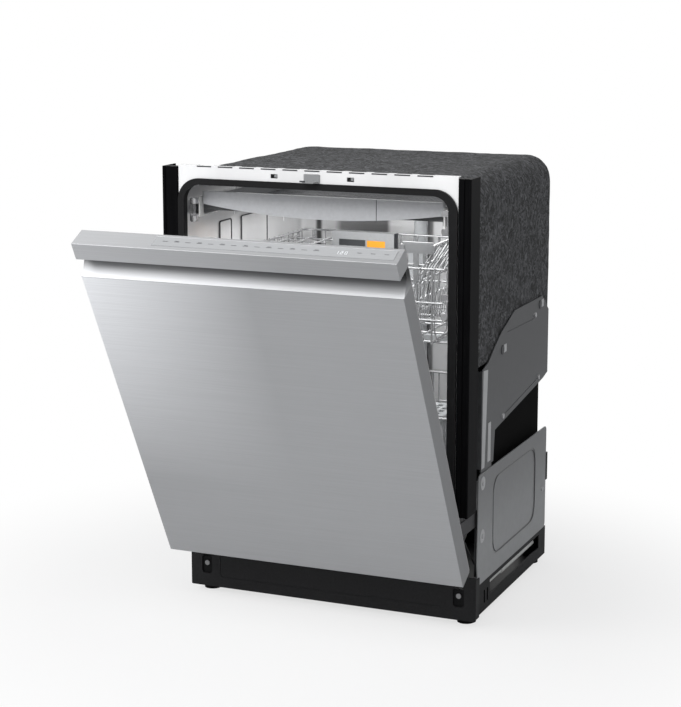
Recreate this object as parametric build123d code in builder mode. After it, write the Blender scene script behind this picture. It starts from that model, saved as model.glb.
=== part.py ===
"""A 24 inch built-in dishwasher, door ajar: tub, door, three racks, spray arms and base.

Millimetres. +X is the machine's right seen from the front, the front faces -Y, +Z is up.
The feet stand on z = 0. Depths below are measured from the front face of the tub's flange,
and the planes carry them over to the frame, whose origin is the middle of the overall box.
"""

from build123d import *
from math import cos, radians, sin
import os

os.makedirs("parts", exist_ok=True)

# Clearances
seat = 0.3          # two pieces on different bodies, or a soft piece on its carrier
touch = 0.05        # wires that are welded where they cross
running_fit = 0.05  # radial, a shaft in its bore
slide_gap = 0.5     # telescopic members, one in the other

# Tub
tub_half = 268.0
tub_wall = 1.0
seam = 0.05
tub_ceiling = 828.0
tub_ledge = 203.0
tub_rear = 541.0
tub_corner = 38.0
rear_corner = 22.0
well_half = 236.0
well_front = 100.0
well_rear = 500.0
well_floor = 176.0
well_corner = 34.0
flange_left = -273.6
flange_right = 282.6
flange_low_half = 272.0
flange_low_top = 240.0
flange_top = 858.0
lip_depth = 14.0
lip_wall = 1.6
notch_width = 30.0
notch_depth = 7.0
notch_pitch = 44.0
notch_count = 11
window_x = 76.0
window_z = 844.0
window_width = 14.0
window_height = 8.0
wall_pad = 2.0
wall_pad_bottom = 232.0
wall_pad_top = 733.0
wall_pad_corner = 12.0
front_pad_y = (155.0, 206.0)
rear_pad_y = (252.0, 372.0)

# Gasket
gasket_half = 261.0
gasket_top = 822.0
gasket_corner = 31.0
gasket_bead = 12.0
gasket_proud = 5.0
gasket_lip = 10.0
gasket_bottom = 215.0

# Side trim
trim_half = 307.0
trim_left = -274.0
trim_right = 283.0
trim_front = -3.0
trim_rear = 14.0
trim_web_rear = 48.0
trim_web = 3.0
trim_bottom = 236.0
trim_top = 854.5
trim_rib = 2.2

# Blanket and side pads
blanket_half = 289.0
blanket_top = 849.0
blanket_bottom = 490.0
blanket_front = 26.0
blanket_rear = 557.0
blanket_corner = 50.0
blanket_edge = 15.0
side_pad_y = (192.0, 536.0)
side_pad_z = (206.0, blanket_bottom - seat)

# Base, side sheets and toe panel
base_half = 291.3
base_front = 80.8
base_rear = 545.0
base_bottom = 12.0
base_top = 72.0
base_wall = 3.0
base_floor = 2.5
hose_gap_width = 72.0
hose_gap_bottom = 17.0
window_y = (182.0, 500.0)
base_window_z = (36.0, 64.0)
anchor_slot = (7.0, 26.0)
anchor_slot_y = (150.0, 168.0)
anchor_slot_z = 40.0
sheet = 2.0
panel_front = 106.0
panel_rear = 541.0
panel_top = 288.0
panel_corner = 10.0
panel_press_y = (195.0, 465.0)
panel_press_z = (108.0, 262.0)
press_depth = 0.9
front_fold = 18.0
fold_z = (222.0, 278.0)
brace_foot_z = 297.0
brace_front = 121.0
brace_fold = 11.0
brace_fold_top = 484.0
keyhole_r = 4.0
toe_half = 298.6
toe_front = 78.0
toe_bottom = 12.0
toe_top = 98.0
toe_return = 18.0
toe_press_half = 235.0
toe_press_bottom = 33.0
toe_slot_x = 264.0
toe_slot_z = 57.0
toe_slot_width = 22.0
toe_slot_height = 38.0
screw_r = 5.0

# Feet and rear foot rods
foot_x = 268.0
foot_y = (112.0, 515.0)
foot_r = 17.0
foot_pad = 9.0
stem_r = 8.0
stem_top = 44.0
boss_r = 16.0
boss_top = (36.0, 56.0)
rod_x = 276.0
rod_z = 47.0
rod_r = 5.0
shaft_r = 3.0
rod_front = 292.0

# Hinge and door leaf. h runs up the leaf from the hinge axis, d outwards from it.
hinge_y = 12.5
hinge_z = 203.5
ajar = 28.0
door_half = 301.5
door_bottom = -78.5
door_top = 653.5
leaf_back = 18.0
leaf_front = 60.0
door_skin = 1.5
pocket_bottom = 583.0
pocket_top = 620.0
pocket_depth = 26.0
tray_half = 252.0
tray_bottom = 18.5
tray_top = 614.5
tray_face = 4.5
tray_corner = 30.0
liner_skin = 1.5
strip_x = (-150.0, 292.0)
strip_d = (24.0, 50.0)
strip_thick = 0.8
arm_x = 279.4
arm_thick = 3.2
arm_slot_half = 32.0
pin_r = 5.0
nose_r = 14.0
bracket_x = 283.2
bracket_thick = 3.4
lever = 21.0
cord_r = 1.5
strike_half = 13.0
strike_reach = 20.0
strike_z = 840.0
latch_slot_half = 20.0
latch_slot_h = (624.0, 650.0)
latch_slot_depth = 28.0

# Dispenser, in leaf x and h
dispenser_x = 60.0
dispenser_h = 316.0
bezel_width = 236.0
bezel_height = 136.0
bezel_thick = 2.5
dispenser_depth = 34.0
cup_x = 22.0
cup_width = 96.0
cup_height = 84.0
cup_depth = 27.0
rinse_x = 126.0
rinse_h = 332.0
rinse_r = 17.0
rinse_spigot = 12.0
button_x = 126.0
button_h = 288.0
button_width = 22.0
button_height = 12.0
button_travel = 4.0

# Rack rails and slides: section of the right-hand set
rail_back = 258.0
rail_wall = 1.5
rail_open = 246.0
rail_half = 13.0
rail_y = (24.0, 520.0)
rail_foot_y = (60.0, 480.0)
rail_cap = 10.0
rail_cap_half = 23.0
third_rail_z = 772.0
upper_rail_z = 620.0
slide_y = (30.0, 470.0)
runner_in = 242.0

# Racks
wire_r = 2.0
tine_r = 1.75
third_front = 36.0
third_plate = 8.0
third_half = 238.0
third_y = (44.3, 486.0)
third_floor = 770.0
third_rim = 796.0
third_wall = 2.0
third_front_half = 243.6
third_front_top = 805.5
third_front_end = 782.0
third_front_mid = 763.0
third_seam_x = 112.0
upper_half = 230.0
upper_y = (72.0, 488.0)
upper_floor = 540.0
upper_rim = 678.0
upper_bands = (584.0, 616.0)
upper_hub_y = 285.0
label_x = (-159.0, -20.0)
label_z = (640.0, 681.0)
label_front = 464.0
adjuster_y = (180.0, 330.0)
adjuster_z = (566.0, 664.0)
shelf_reach = 76.0
shelf_left_pivot = (-upper_half + 2 * wire_r + seat, upper_rim - 8)
shelf_left_y = (230.0, 440.0)
shelf_right_pivot = (165.0, 646.0)
shelf_right_y = (110.0, 290.0)
shelf_right_tilt = 66.0
lower_half = 238.0
lower_y = (70.0, 458.0)
lower_floor = 226.0
lower_rim = 400.0
lower_bands = (282.0, 339.0)
wheel_y = (166.0, 404.0)
wheel_r = 15.0
wheel_x = (245.8, 256.4)
axle_r = 3.0

# Water parts
sump_x = 35.0
sump_y = 265.0
sump_hole_r = 118.0
sump_r = 114.0
sump_bottom = 97.0
sump_wall = 3.0
hub_y = 285.0
hub_r = 16.0
spigot_r = 12.0
arm_bottom = 203.5
arm_thick_z = 11.5
filter_x = 85.0
filter_y = 215.0
filter_r = 38.0
filter_top = 197.0
plate_thick = 1.0
feed_x = 16.0
feed_r = 14.5
feed_gap = 0.3
feed_spigot = 9.0
feed_y = tub_rear - feed_gap - feed_r
hose_z = 125.0
top_run_r = 6.5
top_set = 7.0
dock_z = 640.0
dock_half = 13.0
height_travel = 40.0
float_x = 185.0
float_y = 135.0
pump_r = 44.0
drain_r = 9.5
drain_z = 132.0
inlet_r = 9.5
inlet_x = -205.0
inlet_y = 120.0
inlet_z = 40.0
box_x = 200.0
box_y = 125.0
knockout_r = 11.1


drain_end = base_rear + 20
lean_front = hinge_y - door_top * sin(radians(ajar)) - leaf_front * cos(radians(ajar))
origin_y = (drain_end + lean_front) / 2


def front(y):
    """The sketch plane at depth y, seen from the front: x to the right, z up."""
    return Plane(origin=(0, y - origin_y, 0), x_dir=(1, 0, 0), z_dir=(0, -1, 0))


def side(x):
    """The sketch plane at width x, seen from the right: y to the rear, z up."""
    return Plane(origin=(x, -origin_y, 0), x_dir=(0, 1, 0), z_dir=(1, 0, 0))


def level(z):
    """The horizontal sketch plane at height z."""
    return Plane(origin=(0, -origin_y, z))


# The door leaf's own plane, tilted with the ajar door. Its normal points outwards.
leaf = Plane(
    origin=(0, hinge_y - origin_y, hinge_z),
    x_dir=(1, 0, 0),
    z_dir=(0, -cos(radians(ajar)), -sin(radians(ajar))),
)


def leaf_side(x):
    """A plane across the leaf at width x, its axes running along d and h."""
    return Plane(origin=leaf.from_local_coords((x, 0, 0)), x_dir=leaf.z_dir, z_dir=(-1, 0, 0))


def bars_y(places, radius, start, end):
    """Round wires along Y at (x, z) places, added to the part in hand."""
    with BuildSketch(front(start)) as ends:
        with Locations(*places):
            Circle(radius)
    extrude(ends.sketch, amount=start - end)


def bars_x(places, radius, half):
    """Round wires along X at (y, z) places, from -half to +half."""
    with BuildSketch(side(-half)) as ends:
        with Locations(*places):
            Circle(radius)
    extrude(ends.sketch, amount=2 * half)


def bars_z(places, radius, bottom, top):
    """Upright round wires at (x, y) places."""
    with BuildSketch(level(bottom)) as ends:
        with Locations(*places):
            Circle(radius)
    extrude(ends.sketch, amount=top - bottom)


def spread(first, last, count):
    """Evenly spaced places from first to last."""
    step = (last - first) / (count - 1)
    return [first + step * i for i in range(count)]


def wire_basket(half, y_ends, floor, rim, bands, columns, rows):
    """A welded basket of straight wires: floor, uprights, bands and rim."""
    near, far = y_ends
    butt = wire_r + touch
    cross_floor = floor - 2 * wire_r - touch
    upright_top = rim - butt
    outside = 2 * wire_r + touch
    bars_y([(x, floor) for x in columns], wire_r, near + butt, far - butt)
    bars_x([(y, cross_floor) for y in rows], wire_r, half - butt)
    bars_z([(x, y) for x in columns for y in y_ends], wire_r, floor - wire_r, upright_top)
    bars_z([(x, y) for x in (-half, half) for y in rows], wire_r, cross_floor - wire_r, upright_top)
    bars_x([(y, rim) for y in y_ends], wire_r, half + wire_r)
    bars_y([(x, rim) for x in (-half, half)], wire_r, near + butt, far - butt)
    bars_x([(y, z) for y in (near - outside, far + outside) for z in bands], wire_r, half)
    bars_y([(x, z) for x in (-half - outside, half + outside) for z in bands], wire_r, near, far)


# Tub

with BuildPart() as tub_cavity:
    with BuildSketch(front(-1)):
        with Locations((0, (tub_ledge + tub_ceiling) / 2)):
            Rectangle(2 * tub_half, tub_ceiling - tub_ledge)
        fillet(vertices().group_by(Axis.Y)[-1], tub_corner)
    extrude(amount=-(tub_rear + 1))
    fillet(edges().filter_by(Axis.Z).group_by(Axis.Y)[-1], rear_corner)
    with BuildSketch(level(well_floor)):
        with Locations((0, (well_front + well_rear) / 2)):
            RectangleRounded(2 * well_half, well_rear - well_front, well_corner)
    extrude(amount=tub_ledge - well_floor + 1)

with BuildPart() as tub:
    with BuildSketch(front(0)):
        with Locations((0, (tub_ledge + tub_ceiling) / 2)):
            Rectangle(2 * (tub_half + tub_wall), tub_ceiling - tub_ledge + 2 * tub_wall)
        fillet(vertices().group_by(Axis.Y)[-1], tub_corner + tub_wall)
    extrude(amount=-(tub_rear + tub_wall))
    with BuildSketch(level(well_floor - tub_wall)):
        with Locations((0, (well_front + well_rear) / 2)):
            RectangleRounded(
                2 * (well_half + tub_wall), well_rear - well_front + 2 * tub_wall, well_corner + tub_wall
            )
    extrude(amount=tub_ledge - well_floor)
    with BuildSketch(front(0)):
        with Locations(((flange_left + flange_right) / 2, (flange_low_top + flange_top) / 2)):
            Rectangle(flange_right - flange_left, flange_top - flange_low_top)
        with Locations((0, (tub_ledge - tub_wall + flange_low_top) / 2)):
            Rectangle(2 * flange_low_half, flange_low_top - tub_ledge + tub_wall)
    extrude(amount=-tub_wall)
    with BuildSketch(level(flange_top - lip_wall)):
        with Locations(((flange_left + flange_right) / 2, lip_depth / 2)):
            Rectangle(flange_right - flange_left, lip_depth)
        with Locations((0, lip_depth)):
            with GridLocations(notch_pitch, 1, notch_count, 1):
                Rectangle(notch_width, 2 * notch_depth, mode=Mode.SUBTRACT)
    extrude(amount=lip_wall)
    add(tub_cavity.part, mode=Mode.SUBTRACT)
    with BuildSketch(front(0)):
        with Locations((-window_x, window_z), (window_x, window_z)):
            RectangleRounded(window_width, window_height, 1)
    extrude(amount=-tub_wall, mode=Mode.SUBTRACT)
    with BuildSketch(level(well_floor)):
        with Locations((sump_x, sump_y)):
            Circle(sump_hole_r)
    extrude(amount=-tub_wall, mode=Mode.SUBTRACT)
    with BuildSketch(level(tub_ledge)):
        with Locations((feed_x, feed_y)):
            Circle(feed_spigot + seat)
    extrude(amount=-tub_wall, mode=Mode.SUBTRACT)
    with BuildSketch(level(well_floor)):
        with Locations((float_x, float_y)):
            Circle(3)
    extrude(amount=16)
    for wall, inwards in ((-tub_half, 1), (tub_half, -1)):
        with BuildSketch(side(wall)):
            for pad_y in (front_pad_y, rear_pad_y):
                with Locations(((pad_y[0] + pad_y[1]) / 2, (wall_pad_bottom + wall_pad_top) / 2)):
                    RectangleRounded(pad_y[1] - pad_y[0], wall_pad_top - wall_pad_bottom, wall_pad_corner)
        extrude(amount=inwards * wall_pad)
    # Welded seams: the flange, the ceiling, the floor and the rear sheet are pieces of their own
    seam_long = 2 * (tub_rear + flange_top)
    with BuildSketch(front(tub_wall)):
        with Locations((0, (tub_ledge + flange_top) / 2)):
            Rectangle(seam_long, seam_long)
    extrude(amount=-seam, mode=Mode.SUBTRACT)
    with BuildSketch(level(tub_ceiling - tub_corner)):
        with Locations((0, tub_wall + seam_long / 2)):
            Rectangle(seam_long, seam_long)
    extrude(amount=seam, mode=Mode.SUBTRACT)
    with BuildSketch(level(tub_ledge + seam)):
        with Locations((0, tub_wall + seam_long / 2)):
            Rectangle(seam_long, seam_long)
    extrude(amount=seam, mode=Mode.SUBTRACT)
    with BuildSketch(front(tub_rear - rear_corner)):
        Rectangle(seam_long, 2 * (tub_ceiling - tub_corner))
        Rectangle(seam_long, 2 * tub_ledge, mode=Mode.SUBTRACT)
    extrude(amount=-seam, mode=Mode.SUBTRACT)
tub.part.label = "tub"
export_step(tub.part, "parts/tub.step")

with BuildPart() as tub_gasket:
    with BuildSketch(front(-gasket_proud)):
        with Locations((0, (gasket_bottom + gasket_top + gasket_bead) / 2)):
            Rectangle(2 * (gasket_half + gasket_bead), gasket_top + gasket_bead - gasket_bottom)
        fillet(vertices().group_by(Axis.Y)[-1], gasket_corner + gasket_bead)
    extrude(amount=-gasket_proud)
    with BuildSketch(front(0)):
        with Locations((0, (gasket_bottom + tub_ceiling - seat) / 2)):
            Rectangle(2 * (tub_half - seat), tub_ceiling - seat - gasket_bottom)
        fillet(vertices().group_by(Axis.Y)[-1], tub_corner - seat)
    extrude(amount=-gasket_lip)
    with BuildSketch(front(-gasket_proud)):
        with Locations((0, gasket_top / 2)):
            Rectangle(2 * gasket_half, gasket_top)
        fillet(vertices().group_by(Axis.Y)[-1], gasket_corner)
    extrude(amount=-(gasket_proud + gasket_lip), mode=Mode.SUBTRACT)
    fillet(edges().group_by(Axis.Y)[0].filter_by(GeomType.LINE).filter_by(Axis.Z), 2)
tub_gasket.part.label = "tub_gasket"
export_step(tub_gasket.part, "parts/tub_gasket.step")

with BuildPart() as door_strike:
    with BuildSketch(front(0)):
        with Locations((0, strike_z + 3)):
            RectangleRounded(2 * strike_half + 6, 16, 2)
    extrude(amount=1.6)
    with BuildSketch(level(strike_z - 4)):
        with BuildLine():
            Polyline(
                (-strike_half, 0),
                (-strike_half + 2, -strike_reach),
                (strike_half - 2, -strike_reach),
                (strike_half, 0),
                close=True,
            )
        make_face()
        with Locations((0, -strike_reach / 2)):
            RectangleRounded(strike_half, 8, 1.5, mode=Mode.SUBTRACT)
    extrude(amount=2)
door_strike.part.label = "door_strike"
export_step(door_strike.part, "parts/door_strike.step")

with BuildPart() as trim_strips:
    for inner, outer in ((trim_left, -trim_half), (trim_right, trim_half)):
        width = abs(outer - inner)
        sign = 1 if outer > inner else -1
        with BuildSketch(level(trim_bottom)):
            with Locations(((inner + outer) / 2, (trim_front + trim_rib + trim_rear) / 2)):
                Rectangle(width, trim_rear - trim_front - trim_rib)
            for share, rib in ((0.24, 0.42), (0.9, 0.14)):
                with Locations((inner + sign * share * width, trim_front + trim_rib)):
                    Rectangle(rib * width, 2 * trim_rib)
            with Locations((outer - sign * trim_web / 2, (trim_rear + trim_web_rear) / 2)):
                Rectangle(trim_web, trim_web_rear - trim_rear)
        extrude(amount=trim_top - trim_bottom)
trim_strips.part.label = "trim_strips"
export_step(trim_strips.part, "parts/trim_strips.step")

with BuildPart() as sound_blanket:
    with BuildSketch(front(blanket_front)):
        with Locations((0, (blanket_bottom + blanket_top) / 2)):
            Rectangle(2 * blanket_half, blanket_top - blanket_bottom)
        fillet(vertices().group_by(Axis.Y)[-1], blanket_corner)
    extrude(amount=-(blanket_rear - blanket_front))
    fillet(faces().sort_by(Axis.Y)[-1].edges().sort_by(Axis.Z)[1:], blanket_edge)
    with BuildSketch(front(blanket_front)):
        with Locations((0, (blanket_bottom + tub_ceiling + tub_wall + seat) / 2)):
            Rectangle(
                2 * (tub_half + tub_wall + seat), tub_ceiling + tub_wall + seat - blanket_bottom
            )
        fillet(vertices().group_by(Axis.Y)[-1], tub_corner + tub_wall + seat)
    extrude(amount=-(tub_rear + tub_wall + seat - blanket_front), mode=Mode.SUBTRACT)
sound_blanket.part.label = "sound_blanket"
export_step(sound_blanket.part, "parts/sound_blanket.step")

with BuildPart() as side_pads:
    for sign in (-1, 1):
        with BuildSketch(side(sign * (tub_half + tub_wall + seat))):
            with Locations((sum(side_pad_y) / 2, sum(side_pad_z) / 2)):
                RectangleRounded(side_pad_y[1] - side_pad_y[0], side_pad_z[1] - side_pad_z[0], 8)
        extrude(amount=sign * (blanket_half - tub_half - tub_wall - seat))
side_pads.part.label = "side_pads"
export_step(side_pads.part, "parts/side_pads.step")

# Base

with BuildPart() as base_pan:
    with BuildSketch(level(base_bottom)):
        with Locations((0, (base_front + base_rear) / 2)):
            Rectangle(2 * base_half, base_rear - base_front)
    extrude(amount=base_top - base_bottom)
    with BuildSketch(level(base_bottom + base_floor)):
        with Locations((0, (base_front + base_rear) / 2)):
            Rectangle(2 * (base_half - base_wall), base_rear - base_front - 2 * base_wall)
    extrude(amount=base_top, mode=Mode.SUBTRACT)
    for y, top in zip(foot_y, boss_top):
        with BuildSketch(level(base_bottom)):
            with Locations((-foot_x, y), (foot_x, y)):
                Circle(boss_r)
        extrude(amount=top - base_bottom)
        with BuildSketch(level(base_bottom)):
            with Locations((-foot_x, y), (foot_x, y)):
                Circle(stem_r + running_fit)
        extrude(amount=top - base_bottom, mode=Mode.SUBTRACT)
    with BuildSketch(side(-base_half)):
        with Locations((sum(window_y) / 2, sum(base_window_z) / 2)):
            Rectangle(window_y[1] - window_y[0], base_window_z[1] - base_window_z[0])
        with Locations(*[(y, anchor_slot_z) for y in anchor_slot_y]):
            Rectangle(*anchor_slot)
    extrude(amount=2 * base_half, mode=Mode.SUBTRACT)
    with BuildSketch(front(base_rear)):
        with Locations((inlet_x, (hose_gap_bottom + base_top) / 2), (box_x, (hose_gap_bottom + base_top) / 2)):
            Rectangle(hose_gap_width, base_top - hose_gap_bottom)
    extrude(amount=base_wall, mode=Mode.SUBTRACT)
base_pan.part.label = "base_pan"
export_step(base_pan.part, "parts/base_pan.step")

with BuildPart() as toe_panel:
    with BuildSketch(front(toe_front)):
        with Locations((0, (toe_bottom + toe_top) / 2)):
            RectangleRounded(2 * toe_half, toe_top - toe_bottom, 3)
    extrude(amount=-(base_front - toe_front))
    for sign in (-1, 1):
        with BuildSketch(side(sign * (toe_half - sheet))):
            with Locations((base_front + toe_return / 2, (toe_bottom + toe_top) / 2)):
                Rectangle(toe_return, toe_top - toe_bottom - 8)
        extrude(amount=sign * sheet)
    with BuildSketch(front(toe_front)):
        with Locations((0, (toe_press_bottom + toe_top - 9) / 2)):
            RectangleRounded(2 * toe_press_half, toe_top - 9 - toe_press_bottom, 7)
    extrude(amount=-press_depth, mode=Mode.SUBTRACT)
    with BuildSketch(front(toe_front)):
        with Locations((-toe_slot_x, toe_slot_z), (toe_slot_x, toe_slot_z)):
            RectangleRounded(toe_slot_width, toe_slot_height, 6)
    extrude(amount=-(base_front - toe_front), mode=Mode.SUBTRACT)
toe_panel.part.label = "toe_panel"
export_step(toe_panel.part, "parts/toe_panel.step")

sheet_in = blanket_half + seat
sheet_out = sheet_in + sheet

with BuildPart() as side_panels:
    for sign in (-1, 1):
        with BuildSketch(side(sign * sheet_in)):
            with Locations(((panel_front + panel_rear) / 2, (base_top + panel_top) / 2)):
                RectangleRounded(panel_rear - panel_front, panel_top - base_top, panel_corner)
        extrude(amount=sign * sheet)
        with BuildSketch(front(panel_front)):
            with Locations((sign * (sheet_out - front_fold / 2), (fold_z[0] + fold_z[1]) / 2)):
                Rectangle(front_fold, fold_z[1] - fold_z[0])
        extrude(amount=-sheet)
        with BuildSketch(side(sign * sheet_out)):
            with Locations((sum(panel_press_y) / 2, sum(panel_press_z) / 2)):
                RectangleRounded(
                    panel_press_y[1] - panel_press_y[0], panel_press_z[1] - panel_press_z[0], 22
                )
        extrude(amount=-sign * press_depth, mode=Mode.SUBTRACT)
side_panels.part.label = "side_panels"
export_step(side_panels.part, "parts/side_panels.step")

brace_outline = [
    (brace_front, brace_foot_z),
    (brace_front, 486),
    (155, 495),
    (192, 518),
    (231, 539),
    (274, 554),
    (311, 568),
    (494, 568),
    (539, 534),
    (539, 403),
    (510, 396),
    (474, 391),
    (199, 356),
    (191, brace_foot_z),
]

with BuildPart() as side_braces:
    for sign in (-1, 1):
        with BuildSketch(side(sign * sheet_in)):
            with BuildLine():
                Polyline(*brace_outline, close=True)
            make_face()
            with Locations((238, 504), (479, 553)):
                Circle(keyhole_r, mode=Mode.SUBTRACT)
        extrude(amount=sign * sheet)
        with BuildSketch(front(brace_front)):
            with Locations((sign * (sheet_out - brace_fold / 2), (brace_foot_z + brace_fold_top) / 2)):
                Rectangle(brace_fold, brace_fold_top - brace_foot_z)
        extrude(amount=sheet)
        with BuildSketch(side(sign * (sheet_in - sheet - 0.2))):
            with Locations(((brace_front + 191) / 2, brace_foot_z - 4)):
                Rectangle(191 - brace_front - 8, 48)
        extrude(amount=sign * sheet)
        with BuildSketch(side(sign * (sheet_in - sheet))):
            with Locations(((brace_front + 191) / 2, brace_foot_z + 8)):
                Rectangle(191 - brace_front - 8, 16)
        extrude(amount=sign * (sheet + 0.5))
        with BuildSketch(side(sign * sheet_out)):
            with BuildLine():
                Polyline((267, 533), (434, 530), (434, 532.4), (267, 535.4), close=True)
            make_face()
            with BuildLine():
                Polyline((260, 374), (457, 400), (457, 402.4), (260, 376.4), close=True)
            make_face()
        extrude(amount=-sign * press_depth, mode=Mode.SUBTRACT)
side_braces.part.label = "side_braces"
export_step(side_braces.part, "parts/side_braces.step")

with BuildPart() as screws:
    for y, z in ((445, 537), (474, 404), (245, 373), (131, 268), (131, 165), (516, 159)):
        for sign in (-1, 1):
            with BuildSketch(side(sign * sheet_out)):
                with Locations((y, z)):
                    Circle(screw_r)
            extrude(amount=sign * 2.5)
    with BuildSketch(front(base_front)):
        with Locations((-toe_slot_x, toe_slot_z + 2), (toe_slot_x, toe_slot_z + 2)):
            Circle(screw_r)
    extrude(amount=2.4)
screws.part.label = "screws"
export_step(screws.part, "parts/screws.step")

# The foot at each corner: a pad on a stem that screws into the base

foot_names = {
    "front_left_foot": (-foot_x, foot_y[0]),
    "front_right_foot": (foot_x, foot_y[0]),
    "rear_left_foot": (-foot_x, foot_y[1]),
    "rear_right_foot": (foot_x, foot_y[1]),
}
for name, (x, y) in foot_names.items():
    with BuildPart() as foot:
        with BuildSketch(level(0)):
            with Locations((x, y)):
                Circle(foot_r)
        extrude(amount=foot_pad)
        chamfer(edges().group_by(Axis.Z)[-1], 2)
        with BuildSketch(level(foot_pad)):
            with Locations((x, y)):
                Circle(stem_r)
        extrude(amount=stem_top - foot_pad)
    foot.part.label = name
    export_step(foot.part, f"parts/{name}.step")

with BuildPart() as rear_foot_rods:
    rod_end = foot_y[1] - boss_r - seat
    bars_y([(-rod_x, rod_z), (rod_x, rod_z)], rod_r, rod_front, rod_end)
    bars_y([(-rod_x, rod_z), (rod_x, rod_z)], shaft_r, base_front + base_wall + seat, rod_front)
rear_foot_rods.part.label = "rear_foot_rods"
export_step(rear_foot_rods.part, "parts/rear_foot_rods.step")

# Hinges

with BuildPart() as hinge_brackets:
    for sign in (-1, 1):
        with BuildSketch(side(sign * bracket_x)):
            with Locations((hinge_y, hinge_z)):
                Circle(nose_r)
            with Locations(((hinge_y + 156) / 2, hinge_z)):
                Rectangle(156 - hinge_y, 2 * nose_r)
            with Locations((133, (90 + hinge_z) / 2)):
                Rectangle(46, hinge_z - 90)
            with Locations((hinge_y, hinge_z)):
                Circle(pin_r + running_fit, mode=Mode.SUBTRACT)
        extrude(amount=sign * bracket_thick)
        with BuildSketch(side(sign * (bracket_x + bracket_thick))):
            with Locations((131, 165), (131, 110)):
                Circle(9)
        extrude(amount=sign * (sheet_in - seat - bracket_x - bracket_thick))
        with BuildSketch(side(sign * (bracket_x - 9))):
            with Locations((144, 106)):
                Circle(8)
        extrude(amount=sign * 9)
hinge_brackets.part.label = "hinge_brackets"
export_step(hinge_brackets.part, "parts/hinge_brackets.step")

with BuildPart() as hinge_arms:
    for sign in (-1, 1):
        start = sign * arm_x
        with BuildSketch(leaf_side(start)):
            Circle(nose_r - 1)
            with Locations((15, 0)):
                Rectangle(30, 2 * nose_r)
            with Locations((32, 30)):
                Rectangle(24, 170)
            with Locations((-lever / 2, -4)):
                Rectangle(lever, 8)
        extrude(amount=-sign * arm_thick)
        with BuildSketch(leaf_side(start + sign * arm_thick)):
            Circle(pin_r)
        extrude(amount=-sign * (sheet_in - seat - 1 - arm_x - arm_thick))
hinge_arms.part.label = "hinge_arms"
export_step(hinge_arms.part, "parts/hinge_arms.step")

# The balance springs lie in the base, and a cord runs from each to its hinge arm

lever_tip = leaf.from_local_coords((0, -4, 4 - lever))
bend_y = 140 - origin_y
spring_x = arm_x - seat - cord_r
spring_z = 96.0
with BuildPart() as door_springs:
    for sign in (-1, 1):
        x = sign * spring_x
        with BuildSketch(front(210)):
            with Locations((x, spring_z)):
                Circle(7)
        extrude(amount=-210)
        bars_y([(x, spring_z)], cord_r, 140, 210)
        rise = Vector(0, lever_tip.Y - bend_y, lever_tip.Z - spring_z)
        with BuildSketch(Plane(origin=(x, bend_y, spring_z), z_dir=rise)):
            Circle(cord_r)
        extrude(amount=rise.length)
        with BuildSketch(front(420)):
            with Locations((x, spring_z)):
                Circle(2)
        extrude(amount=-30)
door_springs.part.label = "door_springs"
export_step(door_springs.part, "parts/door_springs.step")

# Door leaf

with BuildPart() as door_panel:
    with BuildSketch(leaf.offset(leaf_front)):
        with Locations((0, (door_bottom + pocket_bottom) / 2)):
            Rectangle(2 * door_half, pocket_bottom - door_bottom)
    extrude(amount=leaf_back + 2 - leaf_front)
    with BuildSketch(leaf.offset(leaf_front - door_skin)):
        with Locations((0, (door_bottom + pocket_bottom) / 2 + door_skin)):
            Rectangle(2 * (door_half - door_skin), pocket_bottom - door_bottom)
    extrude(amount=leaf_back + 2 + door_skin - leaf_front, mode=Mode.SUBTRACT)
door_panel.part.label = "door_panel"
export_step(door_panel.part, "parts/door_panel.step")

with BuildPart() as handle_pocket:
    with BuildSketch(leaf_side(-door_half)):
        with BuildLine():
            lip_foot = (leaf_front, pocket_bottom + 0.2)
            scoop_back = (leaf_front - pocket_depth, pocket_top - 12)
            Line((leaf_back + 2, pocket_bottom + 0.2), lip_foot)
            ThreePointArc(
                lip_foot,
                ((lip_foot[0] + scoop_back[0]) / 2 - 1.5, (lip_foot[1] + scoop_back[1]) / 2 - 1.5),
                scoop_back,
            )
            Polyline(
                scoop_back,
                (leaf_front - pocket_depth, pocket_top),
                (leaf_back + 2, pocket_top),
                (leaf_back + 2, pocket_bottom + 0.2),
            )
        make_face()
    extrude(amount=-2 * door_half)
handle_pocket.part.label = "handle_pocket"
export_step(handle_pocket.part, "parts/handle_pocket.step")

console_h = (pocket_top + door_top) / 2
console_tall = door_top - pocket_top
with BuildPart() as control_console:
    with BuildSketch(leaf.offset(leaf_back)):
        with Locations((0, console_h)):
            Rectangle(2 * door_half, console_tall)
    extrude(amount=leaf_front - leaf_back)
    with BuildSketch(leaf.offset(leaf_back)):
        with Locations((0, sum(latch_slot_h) / 2)):
            Rectangle(2 * latch_slot_half, latch_slot_h[1] - latch_slot_h[0])
    extrude(amount=latch_slot_depth, mode=Mode.SUBTRACT)
    with BuildSketch(leaf.offset(leaf_back + 6)):
        with Locations((160, pocket_top + 11)):
            Rectangle(150, 22)
    extrude(amount=26, mode=Mode.SUBTRACT)
    with BuildSketch(leaf.offset(strip_d[0])):
        with Locations((sum(strip_x) / 2, door_top - strip_thick / 2)):
            Rectangle(strip_x[1] - strip_x[0], strip_thick)
    extrude(amount=strip_d[1] - strip_d[0], mode=Mode.SUBTRACT)
control_console.part.label = "control_console"
export_step(control_console.part, "parts/control_console.step")

with BuildPart() as touch_strip:
    with BuildSketch(leaf.offset(strip_d[0])):
        with Locations((sum(strip_x) / 2, door_top - strip_thick / 2)):
            Rectangle(strip_x[1] - strip_x[0], strip_thick)
    extrude(amount=strip_d[1] - strip_d[0])
touch_strip.part.label = "touch_strip"
export_step(touch_strip.part, "parts/touch_strip.step")

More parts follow.
